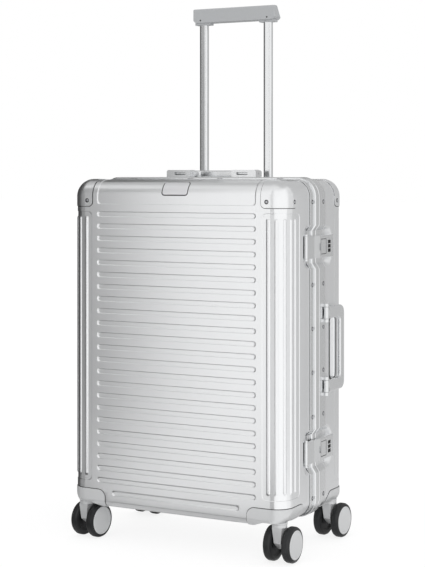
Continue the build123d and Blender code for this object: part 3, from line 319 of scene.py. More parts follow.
# Woven polyester lining: dark threads that cross and catch a little sheen from the side.
# The threads are 0.4 mm apart and are drawn 1.6 mm apart.
LINING = blank("woven_polyester_lining")
cloth_tree = LINING.node_tree
cloth_place = put(cloth_tree, "ShaderNodeTexCoord").outputs["Object"]
THREAD_MM = 1.6
WAVE_PERIOD = 2 * math.pi / 20
thread_scale = WAVE_PERIOD / (THREAD_MM * MM)
turned_place = put(cloth_tree, "ShaderNodeMapping", {
    "Vector": cloth_place, "Rotation": (0.0, 0.0, math.radians(45)), "Scale": (1.414, 1.414, 1.0),
}).outputs["Vector"]
cross_threads, long_threads = [
    put(cloth_tree, "ShaderNodeTexWave", {
        "Vector": place, "Scale": thread_scale, "Distortion": 0.4, "Detail": 1.0, "Detail Scale": 2.0,
    }, bands_direction=direction).outputs["Fac"]
    for place, direction in ((cloth_place, "Z"), (turned_place, "X"))
]
weave = put(cloth_tree, "ShaderNodeMath", {
    0: cross_threads, 1: long_threads,
}, operation="MULTIPLY").outputs["Value"]
cloth_colour = put(cloth_tree, "ShaderNodeMix", {
    0: weave, MIX_A: linear("3A3C40"), MIX_B: linear("565960"),
}, data_type="RGBA").outputs[MIX_OUT]
cloth_rough = put(cloth_tree, "ShaderNodeMapRange", {
    "Value": weave, "To Min": 0.86, "To Max": 0.68,
}).outputs["Result"]
cloth_relief = put(cloth_tree, "ShaderNodeBump", {"Height": weave, "Distance": 0.12 * MM, "Strength": 0.6})
cloth_body = put(cloth_tree, "ShaderNodeBsdfPrincipled", {
    "Base Color": cloth_colour, "Roughness": cloth_rough, "Normal": cloth_relief.outputs["Normal"],
    "Sheen Weight": 0.25,
})
put(cloth_tree, "ShaderNodeOutputMaterial", {"Surface": cloth_body.outputs["BSDF"]})

SLOT_FINISH = {
    "aluminium_shell": SHEET, "aluminium_frame": EXTRUSION, "aluminium_tube": TUBE, "lock_metal": CAST_ZINC,
    "handle_plastic": SILVER_ABS, "grip_plastic": GREY_NYLON, "housing_plastic": PALE_NYLON,
    "hub_plastic": HUB_ABS, "dial_plastic": ACETAL, "tyre_rubber": TYRE, "seal_rubber": SEAL, "steel": STEEL,
    "lining_fabric": LINING,
}


def dress(piece, material):
    """Give a piece one material."""
    piece.data.materials.clear()
    piece.data.materials.append(material)


for part in frame["record"]["subparts"]:
    dress(frame["nodes"][part["node"]], SLOT_FINISH[part["material_slot"]])
for half in ("front", "rear"):
    dress(frame["nodes"][f"{half}_rivets"], RIVET_WITH_PAINTED_SHADE)


def smooth(low, high, value):
    """Smooth step from 0 at low to 1 at high."""
    t = np.clip((value - low) / (high - low), 0, 1)
    return t * t * (3 - 2 * t)


def eased(ramp):
    """Half way between a straight ramp and a smooth one."""
    return 0.5 * ramp + 0.5 * smooth(0, 1, ramp)


def rounded_inset(u, v, u_span, v_span, corner):
    """Distance inside a rounded rectangle, negative outside."""
    qu = np.abs(u - sum(u_span) / 2) - (u_span[1] - u_span[0]) / 2 + corner
    qv = np.abs(v - sum(v_span) / 2) - (v_span[1] - v_span[0]) / 2 + corner
    outside = np.hypot(np.maximum(qu, 0), np.maximum(qv, 0))
    return corner - outside - np.minimum(np.maximum(qu, qv), 0)


class Tray:
    """Half of the case as a grid over a rounded box: a band round its sides, a top and a bottom sheet."""

    def __init__(self, side, rim, depth, inset, runs, rises):
        self.side = side
        self.radius = EDGE_R - inset
        self.low_radius = BOTTOM_R - inset
        self.flat_x = HALF_W - EDGE_R
        self.low_turn = CASE_Z[0] + BOTTOM_R
        self.low_depth = depth - self.low_radius
        self.low = np.array([-self.flat_x, -NO_LIMIT, CASE_Z[0] + EDGE_R])
        self.high = np.array([self.flat_x, depth - self.radius, CASE_Z[1] - EDGE_R])
        self.arc = QUARTER * self.radius
        self.mid_run = self.flat_x + self.arc / 2
        last = self.flat_x + self.arc + self.high[1] - rim
        half = sorted({round(r, 4) for r in runs if r < last - 0.01} | {last, self.flat_x, self.mid_run})
        self.runs = np.array([-r for r in half[::-1] if r > 0] + half)
        top_rise = self.high[2] + self.arc / 2
        low_rise = self.low_turn - self.low_radius * math.pi / 4
        inner_rises = {round(r, 4) for r in rises if low_rise + 0.05 < r < top_rise - 0.05}
        self.rises = np.array(sorted(inner_rises | {low_rise, top_rise}))
        self.verts = []
        self.faces = []
        self.index = {}

    def ring_point(self, run):
        """Place of a run on the box, seen from above."""
        along = abs(run)
        r = self.radius
        if along <= self.flat_x:
            x, d = along, self.high[1] + r
        elif along <= self.mid_run + 1e-9:
            x, d = self.flat_x + r * math.tan((along - self.flat_x) / r), self.high[1] + r
        elif along <= self.flat_x + self.arc:
            x, d = self.flat_x + r, self.high[1] + r * math.tan(QUARTER - (along - self.flat_x) / r)
        else:
            x, d = self.flat_x + r, self.high[1] - (along - self.flat_x - self.arc)
        return math.copysign(x, run), d

    def level(self, rise):
        """Height of a rise on the box; rises run on round the upper and the lower edge."""
        if rise > self.high[2]:
            return self.high[2] + self.radius * math.tan((rise - self.high[2]) / self.radius)
        if rise < self.low_turn:
            return self.low_turn - self.low_radius * math.tan((self.low_turn - rise) / self.low_radius)
        return rise

    def vertex(self, x, d, z):
        """Index of the vertex over a place on the box."""
        key = (round(x, 3), round(d, 3), round(z, 3))
        if key not in self.index:
            self.index[key] = len(self.verts)
            self.verts.append((x, d, z))
        return self.index[key]

    def build(self, hole=None):
        """Faces of the band and of both sheets, without those whose middle is in the hole."""
        ring = [self.ring_point(run) for run in self.runs]
        levels = [self.level(rise) for rise in self.rises]
        grids = [[[self.vertex(x, d, z) for z in levels] for x, d in ring]]
        xs = [x for (x, d), run in zip(ring, self.runs) if abs(run) <= self.mid_run + 1e-6]
        ds = sorted({round(d, 6) for (x, d), run in zip(ring, self.runs) if abs(run) >= self.mid_run - 1e-6})
        for z in (levels[0], levels[-1]):
            grids.append([[self.vertex(x, d, z) for d in ds] for x in xs])
        box = np.array(self.verts)
        near = np.clip(box, self.low, self.high)
        radius = np.full(len(box), self.radius)
        x, d, z = box.T
        ahead = d > HOUSING_OPEN[1] + 1e-3
        straight = ahead & (z < self.low[2]) & (z >= self.low_turn)
        near[straight, 2] = z[straight]
        turned = ahead & (z < self.low_turn) & (np.abs(x) <= self.flat_x)
        near[turned, 1] = np.minimum(d[turned], self.low_depth)
        near[turned, 2] = self.low_turn
        radius[turned] = self.low_radius
        self.normal = box - near
        self.normal /= np.linalg.norm(self.normal, axis=1)[:, None]
        self.base = near + radius[:, None] * self.normal
        for grid in grids:
            for a, b in zip(grid[:-1], grid[1:]):
                for i in range(len(a) - 1):
                    face = (a[i], b[i], b[i + 1], a[i + 1])
                    if hole and hole(*box[list(face)].mean(axis=0)):
                        continue
                    along = self.base[face[1]] - self.base[face[0]]
                    across = self.base[face[3]] - self.base[face[0]]
                    out = np.dot(np.cross(along, across), self.normal[face[0]])
                    self.faces.append(face if out * self.side > 0 else face[::-1])

    def runs_round(self):
        """Run of each vertex round the vertical edges, signed by side."""
        x, d, _ = self.base.T
        turn = np.arctan2(np.maximum(np.abs(x) - self.flat_x, 0), np.maximum(d - self.high[1], 1e-9))
        past = np.maximum(self.high[1] - d, 0)
        flat = np.minimum(np.abs(x), self.flat_x)
        return np.sign(x) * (flat + self.radius * turn + past)

    def rises_over(self):
        """Rise of each vertex over the panel and round the upper and the lower edge."""
        _, d, z = self.base.T
        up = np.arctan2(np.maximum(z - self.high[2], 0), np.maximum(d - self.high[1], 1e-9))
        down = np.arctan2(np.maximum(self.low_turn - z, 0), np.maximum(d - self.low_depth, 1e-9))
        over = self.radius * up + np.maximum(self.high[1] - d, 0) * (up > 0)
        under = self.low_radius * down + np.maximum(self.low_depth - d, 0) * (down > 0)
        return np.clip(z, self.low_turn, self.high[2]) + over - under

    def right_wall(self):
        """True for the vertices on the +X wall."""
        return self.base[:, 0] > self.flat_x + self.radius - 1

    def placed(self, height):
        """Vertices moved outwards by their heights."""
        return self.base + self.normal * height[:, None]

    def mesh(self, name, spots):
        """Object in metres with its vertices at the given spots."""
        turned = spots * (1, self.side, 1)
        used = sorted({i for face in self.faces for i in face})
        place = {old: new for new, old in enumerate(used)}
        return add_piece(name, turned[used], [[place[i] for i in face] for face in self.faces])


def add_piece(name, spots, faces):
    """Smooth mesh object from vertices in millimetres."""
    data = bpy.data.meshes.new(name)
    data.from_pydata((np.array(spots) * MM).tolist(), [], faces)
    data.shade_smooth()
    made = bpy.data.objects.new(name, data)
    scene.collection.objects.link(made)
    return made


def closed_piece(name, spots, faces):
    """Smooth closed mesh object: touching vertices are joined and all faces look outwards."""
    made = add_piece(name, spots, faces)
    shape = bmesh.new()
    shape.from_mesh(made.data)
    bmesh.ops.remove_doubles(shape, verts=shape.verts, dist=JOIN_GAP * MM)
    bmesh.ops.recalc_face_normals(shape, faces=shape.faces)
    shape.to_mesh(made.data)
    shape.free()
    return made


def dent_ramp(away):
    """Share of a lock dent's depth at a distance above or below its lock."""
    return np.clip((DENT_MOUTH - away) / (DENT_MOUTH - DENT_FLOOR), 0, 1)


def dent_height(tray, end, corner):
    """Lock dents pressed into the +X wall, with ends that draw in by a corner above and below the lock."""
    _, d, z = tray.base.T
    deep = np.zeros(len(d))
    for lock_z in LOCK_Z:
        away = np.abs(z - lock_z)
        drawn_in = corner * np.clip((away - DENT_SQUARE) / (DENT_MOUTH - DENT_SQUARE), 0, 1)
        along = np.clip((end[0] - drawn_in - d) / (end[0] - end[1]), 0, 1)
        deep = np.maximum(deep, eased(dent_ramp(away)) * along)
    return np.where(tray.right_wall(), -DENT * deep, 0)


def dish_height(tray, grow):
    """Scoop for the fingers behind the side handle, grown outwards."""
    _, d, z = tray.base.T
    d_span = (DISH_D[0] - grow, DISH_D[1] + grow)
    z_span = (DISH_Z[0] - grow, DISH_Z[1] + grow)
    inset = rounded_inset(d, z, d_span, z_span, DISH_R + grow)
    slope = np.clip((d_span[1] - d) / DISH_REAR_WALL, 0, 1) if grow == 0 else 1.0
    deep = DISH_DEPTH * smooth(0, DISH_LIP + grow, inset) * slope
    return np.where(tray.right_wall(), -deep, 0)


def shell_height(tray):
    """Pressed relief of a shell: grooves, fluted corners, badge panel, lock dents and finger dish."""
    x, d, z = tray.base.T
    run = tray.runs_round()
    rise = tray.rises_over()
    height = np.zeros(len(x))
    places = [(groove_z, GROOVE_HALF) for groove_z in GROOVE_Z]
    places += [(SHORT_GROOVE_Z, SHORT_GROOVE_HALF), (LOW_GROOVE_RISE, SHORT_GROOVE_HALF)]
    for groove_z, half in places:
        over = np.maximum(np.abs(x) - half + GROOVE_END_R, 0)
        reach = np.hypot(over, rise - groove_z)
        wall = np.where(rise > groove_z, GROOVE_UPPER_WALL, GROOVE_LOWER_WALL)
        pressed = eased(np.clip((GROOVE_END_R - reach) / wall, 0, 1))
        height = np.minimum(height, np.where(d > tray.high[1], -GROOVE_DEPTH * pressed, 0))
    inset = rounded_inset(np.abs(run), z, FLUTE_PANEL, FLUTE_PANEL_Z, PANEL_R)
    on_band = (z > CASE_Z[0] + EDGE_R) & (z < CASE_Z[1] - EDGE_R)
    corner = np.where(on_band, -PANEL_DEPTH * smooth(-PANEL_STEP, PANEL_STEP, inset), 0)
    for flute_run in FLUTE_RUN:
        past = np.maximum(np.abs(z - sum(FLUTE_Z) / 2) - (FLUTE_Z[1] - FLUTE_Z[0]) / 2 + FLUTE_TIP, 0)
        reach = np.hypot(np.abs(run) - flute_run, past)
        crown = np.sqrt(np.maximum(FLUTE_R ** 2 - reach ** 2, 0)) - FLUTE_R + FLUTE_PROUD
        corner = np.where(on_band & (reach < FLUTE_R), np.maximum(corner, crown), corner)
    height = height + corner * (1.0 if tray.side < 0 else REAR_RELIEF)
    if tray.side < 0:
        panel_x = (-BADGE_PANEL_X, BADGE_PANEL_X)
        inset = rounded_inset(x, rise, panel_x, BADGE_PANEL_RISE, BADGE_PANEL_R)
        height = height - PANEL_DEPTH * smooth(-PANEL_STEP, PANEL_STEP, inset)
        return height + dent_height(tray, FRONT_DENT_END, DENT_CORNER)
    return height + dent_height(tray, REAR_DENT_END, DENT_CORNER) + dish_height(tray, 0.0)


def around(values, offsets):
    """Each value with its offsets added."""
    return [value + offset for value in values for offset in offsets]


def inwards(span, steps):
    """Each step counted inwards from both ends of a span."""
    return [span[0] + step for step in steps] + [span[1] - step for step in steps]


def thinned(values, gap):
    """Sorted values without any that lie closer than the gap to the one before."""
    kept = []
    for value in sorted(values):
        if not kept or value - kept[-1] > gap:
            kept.append(value)
    return kept


# Lines of the shells' grids, close together where the relief bends
FLAT_EDGE = HALF_W - EDGE_R
SIDE_RUN = FLAT_EDGE + QUARTER * EDGE_R + DEPTH - EDGE_R
STEP_LINES = (-0.7, -0.45, -0.15, 0.15, 0.45, 0.7)
CORNER_LINES = (1.6, 2.6, 3.8, 5.4, 7.2)
WALL_LINES = (-5.3, -5.0, -4.6, -3.9, -3.5, -3.0, -1.6, 0.0, 1.8, 3.5, 4.0, 4.3, 4.7, 5.0, 5.3)
UNDER_EDGE_D = (118.6, 119.3, 120.3, 121.4, 122.2)
SIDE_LINES = (
    [5.0, 10.0, 20.0, 30.0] + [34.0 + 1.5 * k for k in range(12)]
    + around([FRONT_DENT_END[0]], (-1.6, -0.8, 0.0, 0.8)) + [54.7, REAR_DENT_END[1], 57.4, 58.6, 64.0]
    + [REAR_DENT_END[0], 70.5, 72.2, 73.6, 76.0, 79.0]
    + around([DISH_D[0]], (0.0, 0.6, 1.2, 2.5)) + around([DISH_D[1]], (-1.2, -0.6, 0.0, 1.2, 3.0))
)
DENT_RISES = [DENT_SQUARE + 2.25 * k for k in range(9)] + [DENT_FLOOR]
SHELL_RUNS = (
    list(range(0, 150, 15)) + [PORT_X, HOUSING_OPEN[0]]
    + around([SHORT_GROOVE_HALF], (-9.0, -5.0, -2.8, -1.4, -0.4, 0.4))
    + around([GROOVE_HALF], (-8.5, -5.0, -2.9, -1.7, -1.0, -0.3, 0.4, 2.0, 6.5))
    + around(FLUTE_PANEL, STEP_LINES) + inwards(FLUTE_PANEL, CORNER_LINES)
    + around(FLUTE_RUN, (-FLUTE_R, -3.5, -2.9, -1.7, 0.0, 1.7, 2.9, 3.5, FLUTE_R))
    + [FLAT_EDGE + EDGE_R * (QUARTER - math.atan2(d - DEPTH + EDGE_R, EDGE_R)) for d in UNDER_EDGE_D]
    + [SIDE_RUN - d for d in SIDE_LINES]
)
TOP_EDGE_RISES = [CASE_Z[1] - EDGE_R + EDGE_R * math.radians(a) for a in (0.0, 7.5, 15.0, 22.0, 30.0, 37.5)]
LOW_EDGE_RISES = [CASE_Z[0] + BOTTOM_R - BOTTOM_R * math.radians(a) for a in (0.0, 15.0, 30.0)]
SHELL_RISES = (
    around(GROOVE_Z + [SHORT_GROOVE_Z, LOW_GROOVE_RISE], WALL_LINES)
    + around(FLUTE_PANEL_Z, STEP_LINES) + inwards(FLUTE_PANEL_Z, CORNER_LINES)
    + around(FLUTE_Z, (-FLUTE_TIP, -FLUTE_TIP / 2, 0.0, FLUTE_TIP / 2, FLUTE_TIP))
    + around([BADGE_PANEL_RISE[0]], STEP_LINES + CORNER_LINES)
    + around(LOCK_Z, [sign * step for sign in (-1, 1) for step in DENT_RISES])
    + around(DISH_Z, (-2 * DISH_LIP, -DISH_LIP, 0.0, DISH_LIP, 2 * DISH_LIP))
    + TOP_EDGE_RISES + LOW_EDGE_RISES + [HOUSING_OPEN[2]]
    + [CASE_Z[1] - EDGE_R + EDGE_R * math.asin((PORT_Z - CASE_Z[1] + EDGE_R) / EDGE_R)]
)


def under_housing(x, d, z):
    """True well under a wheel housing, where the shell is open for the wheel well."""
    return abs(x) > HOUSING_OPEN[0] and d > HOUSING_OPEN[1] and z < HOUSING_OPEN[2]


def in_rear_opening(x, d, z):
    """True in the opening for the trolley in the rear shell, or under a wheel housing."""
    return abs(x) < PORT_X and d > PORT_D and z > PORT_Z or under_housing(x, d, z)


def thicken(piece, thickness):
    """Close a sheet inwards to its real thickness, and keep its flats flat to the light."""
    solid = piece.modifiers.new("thickness", "SOLIDIFY")
    solid.thickness = thickness * MM
    solid.offset = -1.0
    flatten(piece)


def flatten(piece):
    """Keep the flats of a smooth piece flat to the light."""
    flats = piece.modifiers.new("flats", "WEIGHTED_NORMAL")
    flats.weight = 100


for name, side, rim, hole, body in (
    ("front_shell", -1, FRONT_RIM, under_housing, "front_case"),
    ("rear_shell", 1, REAR_RIM, in_rear_opening, "rear_case"),
):
    shell_runs = SHELL_RUNS + [SIDE_RUN - PORT_D]
    shell_tray = Tray(side, rim, DEPTH, 0.0, shell_runs, thinned(SHELL_RISES, SHELL_LINE_GAP))
    shell_tray.build(hole)
    pressing = shell_tray.mesh(f"{name}_pressing", shell_tray.placed(shell_height(shell_tray)))
    thicken(pressing, WALL)
    dress(pressing, SHEET)
    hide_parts(name)
    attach(pressing, body)


def turn_steps(start, end, count):
    """Angles from start to end in degrees, as radians."""
    return np.radians(np.linspace(start, end, count))


# A loop is a closed line on the case, as places and outward directions
def seat_loop(edge, corner, up):
    """Loop in the gap round a cap or a housing at one corner."""
    step = SEAT_GAP / 2
    x0, d0, z0 = edge[0] - step, edge[1] - step, edge[2] - up * step
    corner += step
    flat_d = DEPTH - EDGE_R
    end_z = CASE_Z[up > 0]
    face_r = EDGE_R if up > 0 else BOTTOM_R
    face_z = end_z - up * face_r
    side_z = end_z - up * EDGE_R

    def lean(z):
        """Turn of the rounded side at a height."""
        return math.asin(min(1.0, max(0.0, up * (z - side_z) / EDGE_R)))

    loop = [((x0, d, end_z), (0, 0, up)) for d in np.linspace(d0, DEPTH - face_r, SEAT_STEPS[0])]
    for a in turn_steps(85, 0, EDGE_STEPS):
        spot = (x0, DEPTH - face_r + face_r * math.cos(a), face_z + up * face_r * math.sin(a))
        loop.append((spot, (0, math.cos(a), up * math.sin(a))))
    for a in turn_steps(0, 90, CORNER_STEPS):
        spot = (x0 + corner * (1 - math.cos(a)), DEPTH, z0 + up * corner * (1 - math.sin(a)))
        loop.append((spot, (0, 1, 0)))
    for a in turn_steps(0, 90, EDGE_STEPS):
        spot = (FLAT_EDGE + EDGE_R * math.sin(a), flat_d + EDGE_R * math.cos(a), z0)
        loop.append((spot, (math.sin(a), math.cos(a), 0)))
    side_edge = [
        (d0 + corner * (1 - math.sin(a)), z0 + up * corner * (1 - math.cos(a)))
        for a in turn_steps(0, 90, CORNER_STEPS)
    ]
    turns = np.linspace(lean(side_edge[-1][1]), QUARTER, SEAT_STEPS[1])[1:]
    side_edge += [(d0, side_z + up * EDGE_R * math.sin(a)) for a in turns]
    for d, z in side_edge:
        a = lean(z)
        spot = (FLAT_EDGE + EDGE_R * math.cos(a), d, z)
        loop.append((spot, (math.cos(a), 0, up * math.sin(a))))
    loop += [((x, d0, end_z), (0, 0, up)) for x in np.linspace(FLAT_EDGE, x0, SEAT_STEPS[2])[1:-1]]
    return loop


def ring_faces(rows, count):
    """Faces between rows of points, each row and the rows together closed to a ring."""
    faces = []
    for row in range(rows):
        below = (row + 1) % rows
        for i in range(count):
            j = (i + 1) % count
            faces.append((row * count + i, row * count + j, below * count + j, below * count + i))
    return faces


def joined(pieces):
    """Vertices and faces of several pieces in one."""
    verts, faces = [], []
    for piece_verts, piece_faces in pieces:
        faces += [tuple(i + len(verts) for i in face) for face in piece_faces]
        verts += list(piece_verts)
    return verts, faces


def bead_along(loop, half_width, proud, sunk):
    """Vertices and faces of a closed flat bead along a loop."""
    spots = np.array([spot for spot, _ in loop])
    out = np.array([direction for _, direction in loop])
    ahead = np.roll(spots, -1, axis=0) - np.roll(spots, 1, axis=0)
    across = np.cross(ahead, out)
    across *= half_width / np.linalg.norm(across, axis=1)[:, None]
    crown = proud * out
    shoulder = proud * out * BEAD_SHOULDER
    rows = [
        spots + across - sunk * out, spots + across + shoulder, spots + BEAD_CROWN * across + crown,
        spots - BEAD_CROWN * across + crown, spots - across + shoulder, spots - across - sunk * out,
    ]
    return np.concatenate(rows), ring_faces(len(rows), len(spots))


def both_corners(loop, side):
    """A loop of one corner turned to the right and the left corner of one half."""
    turns = [np.array((sign, side, 1)) for sign in (1, -1)]
    return [[(np.array(spot) * turn, np.array(out) * turn) for spot, out in loop] for turn in turns]


def case_loop(offset, d):
    """Loop round the case at one depth, with the lock dents."""
    half_h = (CASE_Z[1] - CASE_Z[0]) / 2
    mid_z = sum(CASE_Z) / 2
    line = []
    for z in np.arange(CASE_Z[0] + EDGE_R, CASE_Z[1] - EDGE_R, CASE_LOOP_STEP):
        away = min(abs(z - lock_z) for lock_z in LOCK_Z)
        line.append((HALF_W + offset - DENT * dent_ramp(away), z))
    for sign_x, sign_z, start in CORNERS:
        middle = (sign_x * FLAT_EDGE, mid_z + sign_z * (half_h - EDGE_R))
        line += arc(middle, EDGE_R + offset, start, start + 90, EDGE_STEPS)
    line = np.array(line)
    ahead = np.roll(line, -1, axis=0) - np.roll(line, 1, axis=0)
    ahead /= np.linalg.norm(ahead, axis=1)[:, None]
    return [((x, d, z), (step[1], 0, -step[0])) for (x, z), step in zip(line, ahead)]


# A direction along no axis of the case
ASKEW = (0.3, 0.5, 0.8)


def ring_loop(place, out, radius):
    """Loop in a circle round a place on a face."""
    out = np.array(out, dtype=float)
    first = np.cross(out, ASKEW)
    first /= np.linalg.norm(first)
    second = np.cross(out, first)
    return [(np.array(place) + radius * (math.cos(a) * first + math.sin(a) * second), out)
            for a in turn_steps(0, 360, RING_STEPS + 1)[:-1]]


def rivet_shade_rings(flange_d, side):
    """Loops round the frame and cap rivets of one half, for dark rings of painted shade round their heads."""
    heads = []
    for sign in (-1, 1):
        end_z = CASE_Z[sign > 0] + sign * FLANGE_T
        heads += [((sign * (HALF_W + FLANGE_T), side * flange_d, z), (sign, 0, 0)) for z in SIDE_RIVET_Z]
        heads += [((x, side * flange_d, end_z), (0, 0, sign)) for x in TOP_RIVET_X]
        heads.append(((sign * (HALF_W + CAP_PROUD), side * CAP_RIVET[1], CAP_RIVET[2]), (sign, 0, 0)))
        heads.append(((sign * CAP_RIVET[0], side * (DEPTH + CAP_PROUD), CAP_RIVET[2]), (0, side, 0)))
    return [ring_loop(place, out, RIVET_RING_R) for place, out in heads]


def beads_along(name, loops, bead):
    """One piece made of closed flat beads along several loops."""
    return closed_piece(name, *joined([bead_along(loop, *bead) for loop in loops]))


def arc(middle, radius, start, end, count=CORNER_STEPS):
    """Points of an arc, from a start to an end angle in degrees."""
    turns = turn_steps(start, end, count)
    return [(middle[0] + radius * math.cos(a), middle[1] + radius * math.sin(a)) for a in turns]


def rounded_outline(u_span, v_span, corner):
    """Points round a rounded rectangle."""
    points = []
    for sign_u, sign_v, start in CORNERS:
        middle = (u_span[sign_u > 0] - sign_u * corner, v_span[sign_v > 0] - sign_v * corner)
        points += arc(middle, corner, start, start + 90)
    return points


def dish_loop():
    """Loop round the finger dish on the +X side, for its dark edge line of painted shade."""
    d_span = (DISH_D[0] - DISH_SHADE_LINE, DISH_D[1] + DISH_SHADE_LINE)
    z_span = (DISH_Z[0] - DISH_SHADE_LINE, DISH_Z[1] + DISH_SHADE_LINE)
    return [((HALF_W, d, z), (1, 0, 0)) for d, z in rounded_outline(d_span, z_span, DISH_R + DISH_SHADE_LINE)]


def button_loop(lock_z):
    """Loop round a lock button on the face of its lock."""
    half_h = BUTTON_HALF_H + BUTTON_GAP
    y_span = (BUTTON_Y[0] - BUTTON_GAP, BUTTON_Y[1] + BUTTON_GAP)
    outline = rounded_outline(y_span, (lock_z - half_h, lock_z + half_h), BUTTON_R)
    return [((LOCK_TOP_X, y, z), (1, 0, 0)) for y, z in outline]


def badge_spot(x, rise, height):
    """Place and outward direction on the upper front rounding."""
    turn = (rise - CASE_Z[1] + EDGE_R) / EDGE_R
    out = np.array((0.0, -math.cos(turn), math.sin(turn)))
    spot = np.array((x, -DEPTH + EDGE_R, CASE_Z[1] - EDGE_R)) + (EDGE_R + height) * out
    return spot, out


def badge_loop(grow, height):
    """Loop round the badge plate, grown outwards."""
    corner = BADGE_R + grow
    half_x = BADGE_HALF_W + grow - corner
    half_v = (BADGE_RISE[1] - BADGE_RISE[0]) / 2 + grow - corner
    mid_v = sum(BADGE_RISE) / 2
    loop = []
    for sign_x, sign_v, start in CORNERS:
        middle = (sign_x * half_x, mid_v + sign_v * half_v)
        loop += [badge_spot(*spot, height) for spot in arc(middle, corner, start, start + 90, BADGE_STEPS)]
        if sign_x * sign_v < 0:
            between = np.linspace(mid_v + sign_v * half_v, mid_v - sign_v * half_v, BADGE_STEPS)[1:-1]
            loop += [badge_spot(sign_x * (half_x + corner), v, height) for v in between]
    return loop


def badge_face():
    """Vertices and faces of the badge plate: a rounded plate bent over the rounding, with a bevelled rim."""
    low, high = BADGE_RISE
    rises = inwards(BADGE_RISE, BADGE_RIM_LINES)
    rises += list(np.linspace(low + BADGE_FLAT_EDGE, high - BADGE_FLAT_EDGE, BADGE_FLAT_ROWS))
    verts, faces = [], []
    for rise in sorted(rises):
        from_end = min(rise - low, high - rise, BADGE_R)
        half_x = BADGE_HALF_W - BADGE_R + math.sqrt(max(BADGE_R ** 2 - (BADGE_R - from_end) ** 2, 0))
        right = [half_x - step for step in BADGE_RIM_LINES] + [half_x * k / 4 for k in (3, 2, 1)]
        for x in [-x for x in right] + [0.0] + right[::-1]:
            inset = rounded_inset(x, rise, (-BADGE_HALF_W, BADGE_HALF_W), BADGE_RISE, BADGE_R)
            height = -PANEL_DEPTH - BADGE_SUNK + BADGE_PROUD * float(smooth(0, BADGE_BEVEL, inset))
            verts.append(badge_spot(x, rise, height)[0])
    wide = 2 * len(right) + 1
    for i in range(len(rises) - 1):
        for j in range(wide - 1):
            faces.append((i * wide + j, i * wide + j + 1, (i + 1) * wide + j + 1, (i + 1) * wide + j))
    return verts, faces


# Soft black beads of painted shade in the gaps round caps and housings, along the frame edge, the seam and
# the badge, round the finger dish, lock buttons and keyholes
cap_loop = seat_loop(CAP, CAP_R, 1)
housing_loop = seat_loop(HOUSING, HOUSING_R, -1)
for half, side, body, flange_d, rivet_d in (
    ("front", -1, "front_case", FRONT_FLANGE_D, FRONT_RIVET_D),
    ("rear", 1, "rear_case", REAR_FLANGE_D, REAR_RIVET_D),
):
    frame_loop = case_loop(0.0, side * (flange_d + FRAME_BEAD_GAP))
    lines = [
        beads_along(f"{half}_cap_gap_painted_shade", both_corners(cap_loop, side), SEAT_BEAD),
        beads_along(f"{half}_housing_gap_painted_shade", both_corners(housing_loop, side), SEAT_BEAD),
        beads_along(f"{half}_frame_edge_painted_shade", [frame_loop], FRAME_BEAD),
        beads_along(f"{half}_rivet_shade_rings", rivet_shade_rings(rivet_d, side), RIVET_BEAD),
    ]
    if side > 0:
        keyholes = [ring_loop((LOCK_TOP_X, KEYHOLE_Y, z), (1, 0, 0), KEYHOLE_R) for z in LOCK_Z]
        lines.append(beads_along("seam_painted_shade_line", [case_loop(SEAM_PROUD, SEAM_Y)], SEAM_BEAD))
        lines.append(beads_along("finger_dish_painted_shade_edge", [dish_loop()], DISH_BEAD))
        lines.append(beads_along("lock_button_painted_shade", [button_loop(z) for z in LOCK_Z], BUTTON_BEAD))
        lines.append(beads_along("lock_keyhole_painted_shade", keyholes, KEYHOLE_BEAD))
    else:
        lines.append(beads_along("badge_edge_painted_shade", [badge_loop(BADGE_GAP, -PANEL_DEPTH)], BADGE_BEAD))
    for line in lines:
        dress(line, PAINTED_GAP_SHADE)
        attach(line, body)

# Soft black rings of painted shade in the wells of the two grip screws
grip_x, grip_y, grip_z = GRIP_SCREW
wells = [ring_loop((x, grip_y, grip_z), (0, -1, 0), GRIP_SCREW_R) for x in (-grip_x, grip_x)]
screw_well_shade = beads_along("grip_screw_painted_shade", wells, SCREW_BEAD)
dress(screw_well_shade, PAINTED_GAP_SHADE)
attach(screw_well_shade, "trolley")

badge = add_piece("badge_plate_face", *badge_face())
thicken(badge, BADGE_T)
dress(badge, BRUSHED)
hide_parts("badge_plate")
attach(badge, "front_case")


def rounded_plate(outline, thickness):
    """Vertices and faces of a plate with rounded edges, lying flat with its middle at zero."""
    drawn = bpy.data.curves.new("plate_outline", "CURVE")
    drawn.dimensions = "2D"
    drawn.fill_mode = "BOTH"
    drawn.offset = -LOOP_ROUND * MM
    drawn.bevel_depth = LOOP_ROUND * MM
    drawn.bevel_resolution = 4
    drawn.extrude = (thickness / 2 - LOOP_ROUND) * MM
    line = drawn.splines.new("POLY")
    line.points.add(len(outline) - 1)
    line.points.foreach_set("co", [value for a, b in outline for value in (a * MM, b * MM, 0.0, 1.0)])
    line.use_cyclic_u = True
    pattern = bpy.data.objects.new("plate_outline", drawn)
    flat = bpy.data.meshes.new_from_object(pattern)
    verts = np.array([corner.co for corner in flat.vertices]) / MM
    faces = [tuple(face.vertices) for face in flat.polygons]
    bpy.data.objects.remove(pattern)
    bpy.data.curves.remove(drawn)
    bpy.data.meshes.remove(flat)
    return verts, faces


def sleeve(radius, low, high):
    """Vertices and faces of a hinge sleeve round a pin along the third axis."""
    profile = [(PIN_HOLE_R, low), (radius - BARREL_RIM, low), (radius, low + BARREL_RIM),
               (radius, high - BARREL_RIM), (radius - BARREL_RIM, high), (PIN_HOLE_R, high)]
    turns = turn_steps(0, 360, SLEEVE_STEPS + 1)[:-1]
    verts = np.array([(r * math.cos(a), r * math.sin(a), along) for r, along in profile for a in turns])
    return verts, ring_faces(len(profile), SLEEVE_STEPS)


